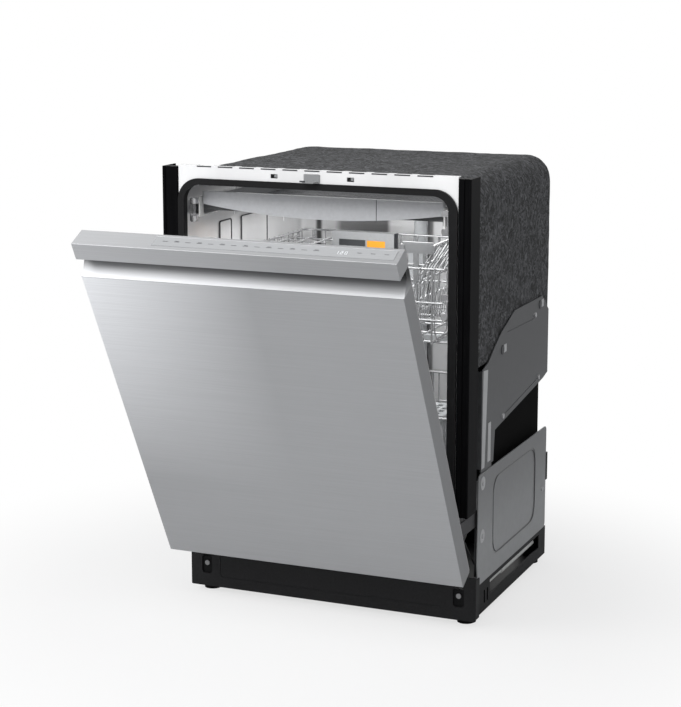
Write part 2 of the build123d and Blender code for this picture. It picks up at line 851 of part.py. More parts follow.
with BuildPart() as control_board:
    with BuildSketch(leaf.offset(leaf_back + 8)):
        with Locations((160, pocket_top + 12)):
            Rectangle(140, 1.6)
    extrude(amount=22)
    with BuildSketch(leaf.offset(leaf_back + 10)):
        with Locations((120, pocket_top + 15.8), (160, pocket_top + 15.8), (200, pocket_top + 15.8)):
            Rectangle(16, 6)
    extrude(amount=14)
control_board.part.label = "control_board"
export_step(control_board.part, "parts/control_board.step")

with BuildPart() as door_liner:
    with BuildSketch(leaf.offset(leaf_back)):
        with Locations((0, (door_bottom + 3 + pocket_top - 0.5) / 2)):
            Rectangle(2 * (door_half - 0.5), pocket_top - 0.5 - door_bottom - 3)
    extrude(amount=liner_skin)
    with BuildSketch(leaf.offset(tray_face)):
        with Locations((0, (tray_bottom + tray_top) / 2)):
            RectangleRounded(2 * tray_half, tray_top - tray_bottom, tray_corner)
    extrude(amount=leaf_back - tray_face)
    fillet(faces().sort_by(Axis(leaf.origin, leaf.z_dir))[0].edges(), 4)
    with BuildSketch(leaf.offset(tray_face + liner_skin)):
        with Locations((0, (tray_bottom + tray_top) / 2)):
            RectangleRounded(
                2 * (tray_half - liner_skin),
                tray_top - tray_bottom - 2 * liner_skin,
                tray_corner - liner_skin,
            )
    extrude(amount=leaf_back - tray_face, mode=Mode.SUBTRACT)
    with BuildSketch(leaf):
        with Locations((dispenser_x, dispenser_h)):
            Rectangle(bezel_width - 10, bezel_height - 10)
    extrude(amount=leaf_back, mode=Mode.SUBTRACT)
    with BuildSketch(leaf.offset(leaf_back)):
        with Locations((-arm_x - arm_thick / 2, 0), (arm_x + arm_thick / 2, 0)):
            Rectangle(arm_thick + 4, 2 * arm_slot_half)
    extrude(amount=liner_skin, mode=Mode.SUBTRACT)
door_liner.part.label = "door_liner"
export_step(door_liner.part, "parts/door_liner.step")

with BuildPart() as door_insulation:
    with BuildSketch(leaf.offset(leaf_back + liner_skin + seat)):
        with Locations((0, 250)):
            Rectangle(2 * 268, 620)
    extrude(amount=leaf_front - door_skin - leaf_back - liner_skin - 2 * seat)
    with BuildSketch(leaf.offset(leaf_back)):
        with Locations((dispenser_x, dispenser_h)):
            Rectangle(bezel_width, bezel_height)
    extrude(amount=dispenser_depth - leaf_back + 6, mode=Mode.SUBTRACT)
door_insulation.part.label = "door_insulation"
export_step(door_insulation.part, "parts/door_insulation.step")

# Dispenser on the leaf's inner face

bezel_back = tray_face - bezel_thick
lid_h = dispenser_h + cup_height / 2 + 5
lid_pin_r = 1.2
lid_barrel_r = 2.4
lid_thick = 2.0
lid_d = bezel_back - seat - lid_barrel_r
with BuildPart() as dispenser:
    with BuildSketch(leaf.offset(bezel_back)):
        with Locations((dispenser_x, dispenser_h)):
            RectangleRounded(bezel_width, bezel_height, 10)
    extrude(amount=bezel_thick)
    with BuildSketch(leaf.offset(tray_face)):
        with Locations((dispenser_x, dispenser_h)):
            Rectangle(bezel_width - 11, bezel_height - 11)
    extrude(amount=dispenser_depth)
    with BuildSketch(leaf.offset(bezel_back)):
        with Locations((cup_x, dispenser_h)):
            RectangleRounded(cup_width, cup_height, 12)
        with Locations((rinse_x, rinse_h)):
            Circle(rinse_spigot + running_fit)
    extrude(amount=cup_depth, mode=Mode.SUBTRACT)
    with BuildSketch(leaf.offset(bezel_back)):
        with Locations((button_x, button_h)):
            Rectangle(button_width + 2 * seat, button_height + 2 * seat)
    extrude(amount=12, mode=Mode.SUBTRACT)
    for sign in (-1, 1):
        with BuildSketch(leaf_side(cup_x + sign * (cup_width / 2 + 3))):
            with Locations((lid_d, lid_h)):
                Circle(lid_barrel_r)
            with Locations(((lid_d + bezel_back) / 2, lid_h)):
                Rectangle(bezel_back - lid_d, 2 * lid_barrel_r)
            with Locations((lid_d, lid_h)):
                Circle(lid_pin_r + running_fit, mode=Mode.SUBTRACT)
        extrude(amount=-sign * 3)
dispenser.part.label = "dispenser"
export_step(dispenser.part, "parts/dispenser.step")

with BuildPart() as detergent_lid:
    with BuildSketch(leaf_side(cup_x - cup_width / 2 - 2)):
        with Locations((lid_d, lid_h)):
            Circle(lid_barrel_r)
        with Locations((bezel_back - seat - lid_thick / 2, dispenser_h)):
            Rectangle(lid_thick, 2 * (lid_h - dispenser_h))
    extrude(amount=-(cup_width + 4))
    with BuildSketch(leaf_side(cup_x - cup_width / 2 - 5)):
        with Locations((lid_d, lid_h)):
            Circle(lid_pin_r)
    extrude(amount=-(cup_width + 10))
detergent_lid.part.label = "detergent_lid"
export_step(detergent_lid.part, "parts/detergent_lid.step")

with BuildPart() as rinse_aid_cap:
    with BuildSketch(leaf.offset(bezel_back - seat)):
        with Locations((rinse_x, rinse_h)):
            Circle(rinse_r)
    extrude(amount=-4)
    with BuildSketch(leaf.offset(bezel_back - seat)):
        with Locations((rinse_x, rinse_h)):
            Circle(rinse_spigot)
    extrude(amount=12)
    with BuildSketch(leaf.offset(bezel_back - seat - 4)):
        with Locations((rinse_x, rinse_h)):
            Rectangle(2 * rinse_r - 6, 5)
    extrude(amount=-2.5)
rinse_aid_cap.part.label = "rinse_aid_cap"
export_step(rinse_aid_cap.part, "parts/rinse_aid_cap.step")

with BuildPart() as dispenser_button:
    with BuildSketch(leaf.offset(bezel_back - button_travel)):
        with Locations((button_x, button_h)):
            Rectangle(button_width, button_height)
    extrude(amount=12)
dispenser_button.part.label = "dispenser_button"
export_step(dispenser_button.part, "parts/dispenser_button.step")

latch_h = latch_slot_h[1] - 4
latch_d = leaf_back + latch_slot_depth - 5
with BuildPart() as door_latch:
    with BuildSketch(leaf_side(-12)):
        with Locations((latch_d - 8, latch_h + 0.5)):
            Rectangle(20, 3)
        with Locations((latch_d, latch_h)):
            Circle(2.6)
        with Locations((latch_d - 17, latch_h - 0.5)):
            Rectangle(3, 5)
    extrude(amount=-24)
door_latch.part.label = "door_latch"
export_step(door_latch.part, "parts/door_latch.step")

# Rails, slides and runners


with BuildPart() as rack_rails:
    for z in (third_rail_z, upper_rail_z):
        for sign in (-1, 1):
            with BuildSketch(front(rail_y[0])):
                with Locations((sign * (rail_back + rail_open) / 2, z)):
                    Rectangle(rail_back - rail_open, 2 * rail_half)
                with Locations((sign * (rail_back + rail_open - 2 * rail_wall) / 2, z)):
                    Rectangle(rail_back - rail_open - rail_wall + 1, 2 * (rail_half - rail_wall), mode=Mode.SUBTRACT)
            extrude(amount=rail_y[0] - rail_y[1])
            with BuildSketch(side(sign * rail_back)):
                with Locations(*[(y, z) for y in rail_foot_y]):
                    Circle(8)
            extrude(amount=sign * (tub_half - touch - rail_back))
            with BuildSketch(front(rail_y[0])):
                with Locations((sign * (rail_back + rail_open) / 2, z)):
                    RectangleRounded(rail_back - rail_open, 2 * rail_cap_half, 4)
                with Locations((sign * (rail_back - rail_wall + rail_open - 2) / 2, z)):
                    Rectangle(
                        rail_back - rail_wall - rail_open + 2, 2 * (rail_half - rail_wall), mode=Mode.SUBTRACT
                    )
            extrude(amount=rail_cap)
rack_rails.part.label = "rack_rails"
export_step(rack_rails.part, "parts/rack_rails.step")

slide_out = rail_back - rail_wall - slide_gap
slide_half = rail_half - rail_wall - slide_gap
slide_in = rail_open + 1
runner_out = slide_out - rail_wall - slide_gap
runner_half = slide_half - rail_wall - slide_gap

for label, z in (("third_slides", third_rail_z), ("upper_slides", upper_rail_z)):
    with BuildPart() as slides:
        for sign in (-1, 1):
            with BuildSketch(front(slide_y[0])):
                with Locations((sign * (slide_out + slide_in) / 2, z)):
                    Rectangle(slide_out - slide_in, 2 * slide_half)
                with Locations((sign * (slide_out + slide_in - 2 * rail_wall) / 2, z)):
                    Rectangle(
                        slide_out - slide_in - rail_wall + 1, 2 * (slide_half - rail_wall), mode=Mode.SUBTRACT
                    )
            extrude(amount=slide_y[0] - slide_y[1])
    slides.part.label = label
    export_step(slides.part, f"parts/{label}.step")

# Third rack

with BuildPart() as third_rack:
    with BuildSketch(level(third_floor)):
        with Locations((0, sum(third_y) / 2)):
            Rectangle(2 * third_half, third_y[1] - third_y[0])
            with GridLocations(46, 36.5, 10, 12):
                Rectangle(38, 29, mode=Mode.SUBTRACT)
    extrude(amount=third_wall)
    with BuildSketch(level(third_floor + third_wall + touch)):
        for y in (third_y[0] + third_wall / 2, third_y[1] - third_wall / 2):
            with Locations((0, y)):
                Rectangle(2 * third_half, third_wall)
        for x in (third_wall / 2 - third_half, third_half - third_wall / 2):
            with Locations((x, sum(third_y) / 2)):
                Rectangle(third_wall, third_y[1] - third_y[0] - 2 * (third_wall + touch))
    extrude(amount=third_rim - third_floor - third_wall - touch)
    for sign in (-1, 1):
        with BuildSketch(front(third_y[0])):
            with Locations((sign * (runner_out + third_half + touch) / 2, third_rail_z)):
                Rectangle(runner_out - third_half - touch, 2 * runner_half)
        extrude(amount=third_y[0] - slide_y[1])
third_rack.part.label = "third_rack"
export_step(third_rack.part, "parts/third_rack.step")

with BuildPart() as third_rack_front:
    with BuildSketch(front(third_front)):
        with BuildLine():
            Polyline(
                (-third_front_half, third_front_end),
                (-third_front_half, third_front_top),
                (third_front_half, third_front_top),
                (third_front_half, third_front_end),
            )
            ThreePointArc(
                (third_front_half, third_front_end),
                (0, third_front_mid),
                (-third_front_half, third_front_end),
            )
        make_face()
    extrude(amount=-third_plate)
    with BuildSketch(front(third_front)):
        with Locations((third_seam_x, (third_front_mid + third_front_top) / 2)):
            Rectangle(0.8, 60)
    extrude(amount=-1, mode=Mode.SUBTRACT)
    fillet(edges().filter_by(Axis.Z).group_by(Axis.X)[-1].sort_by(Axis.Y)[0], 5)
    fillet(edges().filter_by(Axis.Z).group_by(Axis.X)[0].sort_by(Axis.Y)[0], 5)
third_rack_front.part.label = "third_rack_front"
export_step(third_rack_front.part, "parts/third_rack_front.step")

# Upper rack

upper_columns = spread(-upper_half + 22, upper_half - 22, 10)
upper_rows = spread(upper_y[0] + 34, upper_y[1] - 34, 5)
with BuildPart() as upper_rack:
    wire_basket(upper_half, upper_y, upper_floor, upper_rim, upper_bands, upper_columns, upper_rows)
    post_y = (shelf_right_y[0] - wire_r - seat, shelf_right_y[1] + wire_r + seat)
    post_top = shelf_right_pivot[1] + wire_r
    bars_z([(shelf_right_pivot[0], y) for y in post_y], wire_r, upper_floor + wire_r + touch, post_top)
upper_rack.part.label = "upper_rack"
export_step(upper_rack.part, "parts/upper_rack.step")

basket_side = upper_half + 3 * wire_r + touch
with BuildPart() as upper_runners:
    for sign in (-1, 1):
        with BuildSketch(front(upper_y[0] + 4)):
            with Locations((sign * (runner_out + runner_in) / 2, upper_rail_z)):
                Rectangle(runner_out - runner_in, 2 * runner_half)
        extrude(amount=upper_y[0] + 4 - slide_y[1])
        with BuildSketch(side(sign * (basket_side + seat))):
            with Locations((sum(adjuster_y) / 2, sum(adjuster_z) / 2)):
                RectangleRounded(adjuster_y[1] - adjuster_y[0], adjuster_z[1] - adjuster_z[0], 10)
        extrude(amount=sign * (runner_in - basket_side - seat))
upper_runners.part.label = "upper_runners"
export_step(upper_runners.part, "parts/upper_runners.step")

with BuildPart() as label_plate:
    with BuildSketch(front(label_front)):
        with Locations((sum(label_x) / 2, sum(label_z) / 2)):
            RectangleRounded(label_x[1] - label_x[0], label_z[1] - label_z[0], 2)
    extrude(amount=label_front - upper_y[1] + wire_r + seat)
label_plate.part.label = "label_plate"
export_step(label_plate.part, "parts/label_plate.step")

# Cup shelves: a pivot wire, ribs and an edge wire. The left one lies flat, the right one is up.



def cup_shelf(pivot, tilt, y_ends, ribs):
    """A shelf hinged along Y at the pivot (x, z), turned up by tilt degrees from the +X side."""
    hinge = Plane(
        origin=(pivot[0], y_ends[0] - origin_y, pivot[1]),
        x_dir=(cos(radians(tilt)), 0, sin(radians(tilt))),
        z_dir=(0, 1, 0),
    )
    with BuildSketch(hinge) as long_wires:
        with Locations((0, 0), (shelf_reach, 0), (shelf_reach * 0.5, 0)):
            Circle(wire_r)
    extrude(long_wires.sketch, amount=y_ends[1] - y_ends[0])
    rise = hinge.y_dir
    for y in spread(y_ends[0] + 8, y_ends[1] - 8, ribs):
        foot_point = hinge.origin + hinge.z_dir * (y - y_ends[0]) + rise * (wire_r + tine_r + touch)
        with BuildSketch(Plane(origin=foot_point, z_dir=hinge.x_dir)) as rib:
            Circle(tine_r)
        extrude(rib.sketch, amount=shelf_reach + 6)


with BuildPart() as cup_shelf_left:
    cup_shelf(shelf_left_pivot, 0, shelf_left_y, 6)
cup_shelf_left.part.label = "cup_shelf_left"
export_step(cup_shelf_left.part, "parts/cup_shelf_left.step")

with BuildPart() as cup_shelf_right:
    cup_shelf(shelf_right_pivot, shelf_right_tilt, shelf_right_y, 6)
cup_shelf_right.part.label = "cup_shelf_right"
export_step(cup_shelf_right.part, "parts/cup_shelf_right.step")

# Upper duct, from the dock at the rear to the hub under the rack's floor

duct_top = upper_floor - 3 * wire_r - touch - 1
duct_tall = 14.0
duct_bottom = duct_top - duct_tall
rack_back = upper_y[1] + 3 * wire_r + touch
duct_back = tub_rear - feed_gap - 2 * feed_r - 6 - seat
with BuildPart() as upper_duct:
    with BuildSketch(level(duct_bottom)):
        with BuildLine():
            Polyline(
                (-14, upper_hub_y),
                (-14, 440),
                (feed_x - 16, rack_back + 1),
                (feed_x - 16, duct_back),
                (feed_x + 16, duct_back),
                (feed_x + 16, rack_back + 1),
                (14, 440),
                (14, upper_hub_y),
                close=True,
            )
        make_face()
        with Locations((0, upper_hub_y)):
            Circle(18)
    extrude(amount=duct_tall)
    with BuildSketch(level(duct_bottom)):
        with Locations((feed_x, (rack_back + 1 + duct_back) / 2)):
            Rectangle(32, duct_back - rack_back - 1)
    extrude(amount=dock_z + dock_half + 4 - duct_bottom)
    with BuildSketch(level(duct_bottom)):
        with Locations((0, upper_hub_y)):
            Circle(9)
    extrude(amount=-16)
    with BuildSketch(level(duct_bottom - 16)):
        with Locations((0, upper_hub_y)):
            Circle(13)
    extrude(amount=-3)
upper_duct.part.label = "upper_duct"
export_step(upper_duct.part, "parts/upper_duct.step")


def spray_arm(x, y, z, length, width, thick, bore):
    """A flat rotating arm with pointed ends, nozzles and a hub with its bore."""
    with BuildSketch(level(z)) as blade:
        with BuildLine():
            half = length / 2
            Spline((x - half, y), (x - half / 2, y + width / 2), (x, y + width / 2.4), (x + half, y + 4))
            Line((x + half, y + 4), (x + half, y))
            Spline((x + half, y), (x + half / 2, y - width / 2), (x, y - width / 2.4), (x - half, y - 4))
            Line((x - half, y - 4), (x - half, y))
        make_face()
        with Locations((x, y)):
            Circle(width * 0.6)
            Circle(bore, mode=Mode.SUBTRACT)
    extrude(blade.sketch, amount=thick)
    with BuildSketch(level(z)) as nozzles:
        with Locations(*[(x + share * half, y) for share in (-0.85, -0.6, -0.35, 0.35, 0.6, 0.85)]):
            Circle(1.6)
    extrude(nozzles.sketch, amount=thick, mode=Mode.SUBTRACT)


upper_arm_z = duct_bottom - 15.6
with BuildPart() as upper_spray_arm:
    spray_arm(0, upper_hub_y, upper_arm_z, 420, 40, 12, 9 + running_fit)
upper_spray_arm.part.label = "upper_spray_arm"
export_step(upper_spray_arm.part, "parts/upper_spray_arm.step")

# Lower rack

lower_columns = spread(-lower_half + 24, lower_half - 24, 10)
lower_rows = spread(lower_y[0] + 30, lower_y[1] - 30, 6)
carrier_in = lower_half + 3 * wire_r + touch
with BuildPart() as lower_rack:
    wire_basket(lower_half, lower_y, lower_floor, lower_rim, lower_bands, lower_columns, lower_rows)
    for sign in (-1, 1):
        for y in wheel_y:
            with BuildSketch(side(sign * (carrier_in + touch))):
                with Locations((y, tub_ledge + wheel_r + 18)):
                    RectangleRounded(26, 62, 6)
            extrude(amount=sign * (wheel_x[0] - 0.4 - carrier_in - touch))
            with BuildSketch(side(sign * (wheel_x[0] - 0.4))):
                with Locations((y, tub_ledge + wheel_r)):
                    Circle(axle_r)
            extrude(amount=sign * (wheel_x[1] + 2 - wheel_x[0]))
lower_rack.part.label = "lower_rack"
export_step(lower_rack.part, "parts/lower_rack.step")

for label, y in (("wheels_front", wheel_y[0]), ("wheels_rear", wheel_y[1])):
    with BuildPart() as wheels:
        for sign in (-1, 1):
            with BuildSketch(side(sign * wheel_x[0])):
                with Locations((y, tub_ledge + wheel_r)):
                    Circle(wheel_r - 0.2)
                    Circle(axle_r + running_fit, mode=Mode.SUBTRACT)
            extrude(amount=sign * (wheel_x[1] - wheel_x[0]))
            with BuildSketch(side(sign * (wheel_x[1] - 3))):
                with Locations((y, tub_ledge + wheel_r)):
                    Circle(wheel_r - 3.5)
                    Circle(axle_r + 4, mode=Mode.SUBTRACT)
            extrude(amount=sign * 3, mode=Mode.SUBTRACT)
    wheels.part.label = label
    export_step(wheels.part, f"parts/{label}.step")

tine_x = lower_columns[2]
tine_bar_z = lower_floor + 2 * wire_r + seat
tine_top = 300.0
tine_places = spread(lower_y[0] + 40, lower_y[1] - 40, 12)
with BuildPart() as lower_tines:
    bars_y([(tine_x, tine_bar_z)], wire_r, lower_y[0] + 20, lower_y[1] - 20)
    bars_z([(tine_x, y) for y in tine_places], tine_r, tine_bar_z + wire_r + touch, tine_top)
lower_tines.part.label = "lower_tines"
export_step(lower_tines.part, "parts/lower_tines.step")

basket_x = (142.0, 230.0)
basket_y = (78.0, 178.0)
basket_bottom = lower_floor + wire_r + seat
basket_top = 398.0
basket_wall = 2.0
with BuildPart() as silverware_basket:
    with BuildSketch(level(basket_bottom)):
        with Locations((sum(basket_x) / 2, sum(basket_y) / 2)):
            Rectangle(basket_x[1] - basket_x[0], basket_y[1] - basket_y[0])
            with GridLocations(17, 22, 4, 4):
                Rectangle(10, 14, mode=Mode.SUBTRACT)
    extrude(amount=basket_wall)
    with BuildSketch(level(basket_bottom + basket_wall + touch)):
        for y in (basket_y[0] + basket_wall / 2, basket_y[1] - basket_wall / 2):
            with Locations((sum(basket_x) / 2, y)):
                Rectangle(basket_x[1] - basket_x[0], basket_wall)
        for x in (basket_x[0] + basket_wall / 2, basket_x[1] - basket_wall / 2):
            with Locations((x, sum(basket_y) / 2)):
                Rectangle(basket_wall, basket_y[1] - basket_y[0] - 2 * (basket_wall + touch))
    extrude(amount=basket_top - basket_bottom - basket_wall - touch)
    with BuildSketch(front(basket_y[0])):
        with Locations((sum(basket_x) / 2, 318)):
            with GridLocations(18, 46, 4, 3):
                Rectangle(11, 38)
    extrude(amount=basket_y[0] - basket_y[1], mode=Mode.SUBTRACT)
    with BuildSketch(side(basket_x[0])):
        with Locations((sum(basket_y) / 2, 318)):
            with GridLocations(20, 46, 4, 3):
                Rectangle(13, 38)
    extrude(amount=basket_x[1] - basket_x[0], mode=Mode.SUBTRACT)
silverware_basket.part.label = "silverware_basket"
export_step(silverware_basket.part, "parts/silverware_basket.step")

with BuildPart() as silverware_lid:
    with BuildSketch(level(basket_top + seat)):
        with Locations((sum(basket_x) / 2, sum(basket_y) / 2)):
            RectangleRounded(basket_x[1] - basket_x[0], basket_y[1] - basket_y[0], 6)
            with GridLocations(17, 22, 4, 4):
                Rectangle(11, 15, mode=Mode.SUBTRACT)
    extrude(amount=5)
    with BuildSketch(side(basket_x[0] + 6)):
        with Locations((basket_y[1] + 2, basket_top + seat + 2.5)):
            Circle(2.5)
    extrude(amount=basket_x[1] - basket_x[0] - 12)
silverware_lid.part.label = "silverware_lid"
export_step(silverware_lid.part, "parts/silverware_lid.step")

# Sump, filters and pumps

with BuildPart() as sump:
    with BuildSketch(level(sump_bottom)):
        with Locations((sump_x, sump_y)):
            Circle(sump_r + sump_wall)
    extrude(amount=well_floor - tub_wall - sump_bottom)
    with BuildSketch(level(well_floor - tub_wall - 5)):
        with Locations((sump_x, sump_y)):
            Circle(sump_hole_r + 8)
    extrude(amount=5)
    with BuildSketch(level(sump_bottom + sump_wall)):
        with Locations((sump_x, sump_y)):
            Circle(sump_r)
    extrude(amount=well_floor, mode=Mode.SUBTRACT)
    with BuildSketch(level(sump_bottom)):
        with Locations((0, hub_y)):
            Circle(hub_r)
    extrude(amount=arm_bottom - 0.2 - sump_bottom)
    with BuildSketch(level(arm_bottom - 0.2)):
        with Locations((0, hub_y)):
            Circle(spigot_r)
    extrude(amount=arm_thick_z + 2)
sump.part.label = "sump"
export_step(sump.part, "parts/sump.step")

with BuildPart() as filter_plate:
    with BuildSketch(level(well_floor - tub_wall)):
        with Locations((sump_x, sump_y)):
            Circle(sump_hole_r - 0.4)
        with Locations((0, hub_y)):
            Circle(hub_r + 0.3, mode=Mode.SUBTRACT)
        with Locations((filter_x, filter_y)):
            Circle(filter_r + 0.3, mode=Mode.SUBTRACT)
        with Locations((sump_x, sump_y)):
            with PolarLocations(100, 12):
                Circle(3, mode=Mode.SUBTRACT)
    extrude(amount=plate_thick)
filter_plate.part.label = "filter_plate"
export_step(filter_plate.part, "parts/filter_plate.step")

with BuildPart() as filter_cylinder:
    with BuildSketch(level(sump_bottom + sump_wall + 3)):
        with Locations((filter_x, filter_y)):
            Circle(filter_r)
    extrude(amount=filter_top - 14 - sump_bottom - sump_wall - 3)
    with BuildSketch(level(sump_bottom + sump_wall + 5)):
        with Locations((filter_x, filter_y)):
            Circle(filter_r - 3)
    extrude(amount=filter_top, mode=Mode.SUBTRACT)
    with BuildSketch(level(well_floor + 1)):
        with Locations((filter_x, filter_y)):
            Circle(filter_r)
            Circle(filter_r - 12, mode=Mode.SUBTRACT)
        with Locations((filter_x, filter_y)):
            Rectangle(2 * filter_r - 8, 7)
    extrude(amount=8)
    with BuildSketch(level(well_floor + 1)):
        with Locations((filter_x, filter_y)):
            Rectangle(2 * filter_r - 8, 7)
    extrude(amount=filter_top - well_floor - 1)
filter_cylinder.part.label = "filter_cylinder"
export_step(filter_cylinder.part, "parts/filter_cylinder.step")

with BuildPart() as float_valve:
    with BuildSketch(level(well_floor + seat)):
        with Locations((float_x, float_y)):
            Circle(16)
            Circle(3 + running_fit, mode=Mode.SUBTRACT)
    extrude(amount=20)
    with BuildSketch(level(well_floor + seat + 18)):
        with Locations((float_x, float_y)):
            Circle(16)
    extrude(amount=3)
    chamfer(edges().group_by(Axis.Z)[-1], 2.5)
float_valve.part.label = "float"
export_step(float_valve.part, "parts/float.step")

with BuildPart() as lower_spray_arm:
    spray_arm(0, hub_y, arm_bottom, 430, 46, arm_thick_z, spigot_r + running_fit)
lower_spray_arm.part.label = "lower_spray_arm"
export_step(lower_spray_arm.part, "parts/lower_spray_arm.step")

top_run_z = tub_ceiling - feed_gap - top_run_r
top_hub_bottom = 806.0
with BuildPart() as feed_tube:
    with BuildSketch(level(hose_z - feed_spigot)):
        with Locations((feed_x, feed_y)):
            Circle(feed_spigot)
    extrude(amount=tub_ledge + seat - hose_z + feed_spigot)
    with BuildSketch(front(feed_y)):
        with Locations((feed_x, hose_z)):
            Circle(feed_spigot - 0.5)
    extrude(amount=feed_y - sump_y - sump_r - sump_wall - seat)
    with BuildSketch(level(tub_ledge + seat)):
        with Locations((feed_x, feed_y)):
            Circle(feed_r)
    extrude(amount=tub_ceiling - rear_corner - tub_ledge - seat)
    with BuildSketch(level(tub_ceiling - rear_corner)):
        with Locations((feed_x, feed_y - top_set)):
            Circle(top_run_r)
    extrude(amount=top_run_z - tub_ceiling + rear_corner)
    with BuildSketch(front(feed_y - top_set)):
        with Locations((feed_x, top_run_z - 0.5)):
            Circle(top_run_r - 0.5)
    extrude(amount=feed_y - top_set - hub_y - 40)
    with BuildSketch(level(top_run_z - top_run_r + 2)):
        with BuildLine():
            Polyline(
                (feed_x - 6, hub_y + 46),
                (-6, hub_y),
                (6, hub_y),
                (feed_x + 6, hub_y + 46),
                close=True,
            )
        make_face()
    extrude(amount=2 * top_run_r - 5)
    with BuildSketch(level(top_hub_bottom)):
        with Locations((0, hub_y)):
            Circle(5)
    extrude(amount=top_run_z + top_run_r - top_hub_bottom)
    with BuildSketch(level(top_hub_bottom + 6)):
        with Locations((0, hub_y)):
            Circle(12)
    extrude(amount=top_run_z + top_run_r - top_hub_bottom - 6)
    with BuildSketch(front(feed_y)):
        with Locations((feed_x, dock_z), (feed_x, dock_z - height_travel)):
            RectangleRounded(2 * dock_half + 6, 2 * dock_half, 5)
    extrude(amount=feed_r + 6)
    with BuildSketch(level(dock_z + dock_half + 4)):
        with Locations((feed_x, feed_y)):
            Circle(feed_r + feed_gap - touch)
    extrude(amount=6)
feed_tube.part.label = "feed_tube"
export_step(feed_tube.part, "parts/feed_tube.step")

with BuildPart() as top_spray_arm:
    with BuildSketch(level(top_hub_bottom + 0.8)):
        with Locations((0, hub_y)):
            SlotOverall(220, 26)
            Circle(17)
            Circle(5 + running_fit, mode=Mode.SUBTRACT)
    extrude(amount=4.8)
    with BuildSketch(level(top_hub_bottom + 0.8)):
        with Locations((-90, hub_y), (-55, hub_y), (55, hub_y), (90, hub_y)):
            Circle(1.6)
    extrude(amount=4.8, mode=Mode.SUBTRACT)
top_spray_arm.part.label = "top_spray_arm"
export_step(top_spray_arm.part, "parts/top_spray_arm.step")

with BuildPart() as wash_pump:
    with BuildSketch(side(sump_x - sump_r - sump_wall - seat)):
        with Locations((sump_y, 128)):
            Circle(16)
    extrude(amount=-20)
    with BuildSketch(side(sump_x - sump_r - sump_wall - seat - 20)):
        with Locations((sump_y, 122)):
            Circle(pump_r)
    extrude(amount=-46)
    with BuildSketch(side(sump_x - sump_r - sump_wall - seat - 66)):
        with Locations((sump_y, 122)):
            Circle(pump_r - 10)
    extrude(amount=-62)
    with BuildSketch(level(base_bottom + base_floor)):
        with Locations((-150, sump_y)):
            Rectangle(60, 40)
    extrude(amount=122 - pump_r - base_bottom - base_floor + 6)
wash_pump.part.label = "wash_pump"
export_step(wash_pump.part, "parts/wash_pump.step")

pump_side = sump_x + sump_r + sump_wall + seat
drain_x = pump_side + 34
with BuildPart() as drain_pump:
    with BuildSketch(side(pump_side)):
        with Locations((sump_y, drain_z)):
            Circle(26)
    extrude(amount=56)
    with BuildSketch(front(sump_y + 20)):
        with Locations((drain_x, drain_z)):
            Circle(drain_r)
    extrude(amount=-(drain_end - sump_y - 20))
    with BuildSketch(front(base_rear + 4)):
        with Locations((drain_x, drain_z)):
            Circle(drain_r + 3)
    extrude(amount=8)
drain_pump.part.label = "drain_pump"
export_step(drain_pump.part, "parts/drain_pump.step")

with BuildPart() as inlet_valve:
    with BuildSketch(level(base_bottom + base_floor)):
        with Locations((inlet_x, inlet_y)):
            RectangleRounded(44, 40, 4)
    extrude(amount=46)
    with BuildSketch(level(base_bottom + base_floor + 46)):
        with Locations((inlet_x, inlet_y)):
            Circle(14)
    extrude(amount=26)
    with BuildSketch(front(140)):
        with Locations((inlet_x, inlet_z)):
            Circle(inlet_r)
    extrude(amount=-22)
inlet_valve.part.label = "inlet_valve"
export_step(inlet_valve.part, "parts/inlet_valve.step")

with BuildPart() as junction_box:
    with BuildSketch(level(base_bottom + base_floor)):
        with Locations((box_x, box_y)):
            Rectangle(78, 62)
    extrude(amount=50)
    with BuildSketch(level(base_bottom + base_floor + 1.5)):
        with Locations((box_x, box_y)):
            Rectangle(75, 59)
    extrude(amount=47, mode=Mode.SUBTRACT)
    with BuildSketch(front(156)):
        with Locations((box_x, inlet_z)):
            Circle(knockout_r)
    extrude(amount=2, mode=Mode.SUBTRACT)
junction_box.part.label = "junction_box"
export_step(junction_box.part, "parts/junction_box.step")
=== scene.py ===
"""Looks of the built-in dishwasher: materials, felt jacket, wire racks, light and camera."""

import math

import bmesh
import bpy
from mathutils import Matrix, Vector, noise


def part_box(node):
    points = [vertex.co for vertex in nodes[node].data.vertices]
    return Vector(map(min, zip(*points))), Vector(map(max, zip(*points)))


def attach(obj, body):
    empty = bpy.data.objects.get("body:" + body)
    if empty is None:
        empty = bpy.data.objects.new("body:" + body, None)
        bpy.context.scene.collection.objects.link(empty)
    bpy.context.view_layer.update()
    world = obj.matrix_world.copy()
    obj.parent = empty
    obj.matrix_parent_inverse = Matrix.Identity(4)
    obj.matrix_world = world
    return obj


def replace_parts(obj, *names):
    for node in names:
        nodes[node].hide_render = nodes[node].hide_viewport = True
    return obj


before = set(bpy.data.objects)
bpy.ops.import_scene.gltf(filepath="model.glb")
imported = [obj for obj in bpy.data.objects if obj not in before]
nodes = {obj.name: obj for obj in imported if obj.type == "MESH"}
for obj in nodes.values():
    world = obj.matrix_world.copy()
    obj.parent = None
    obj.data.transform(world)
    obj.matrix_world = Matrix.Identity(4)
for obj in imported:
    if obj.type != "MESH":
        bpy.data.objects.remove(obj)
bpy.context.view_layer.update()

MM = 0.001
SIDES = (-1, 1)
WHITE = (1, 1, 1, 1)

# Depths are given from the front face of the tub's flange
FLANGE_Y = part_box("tub")[0][1]

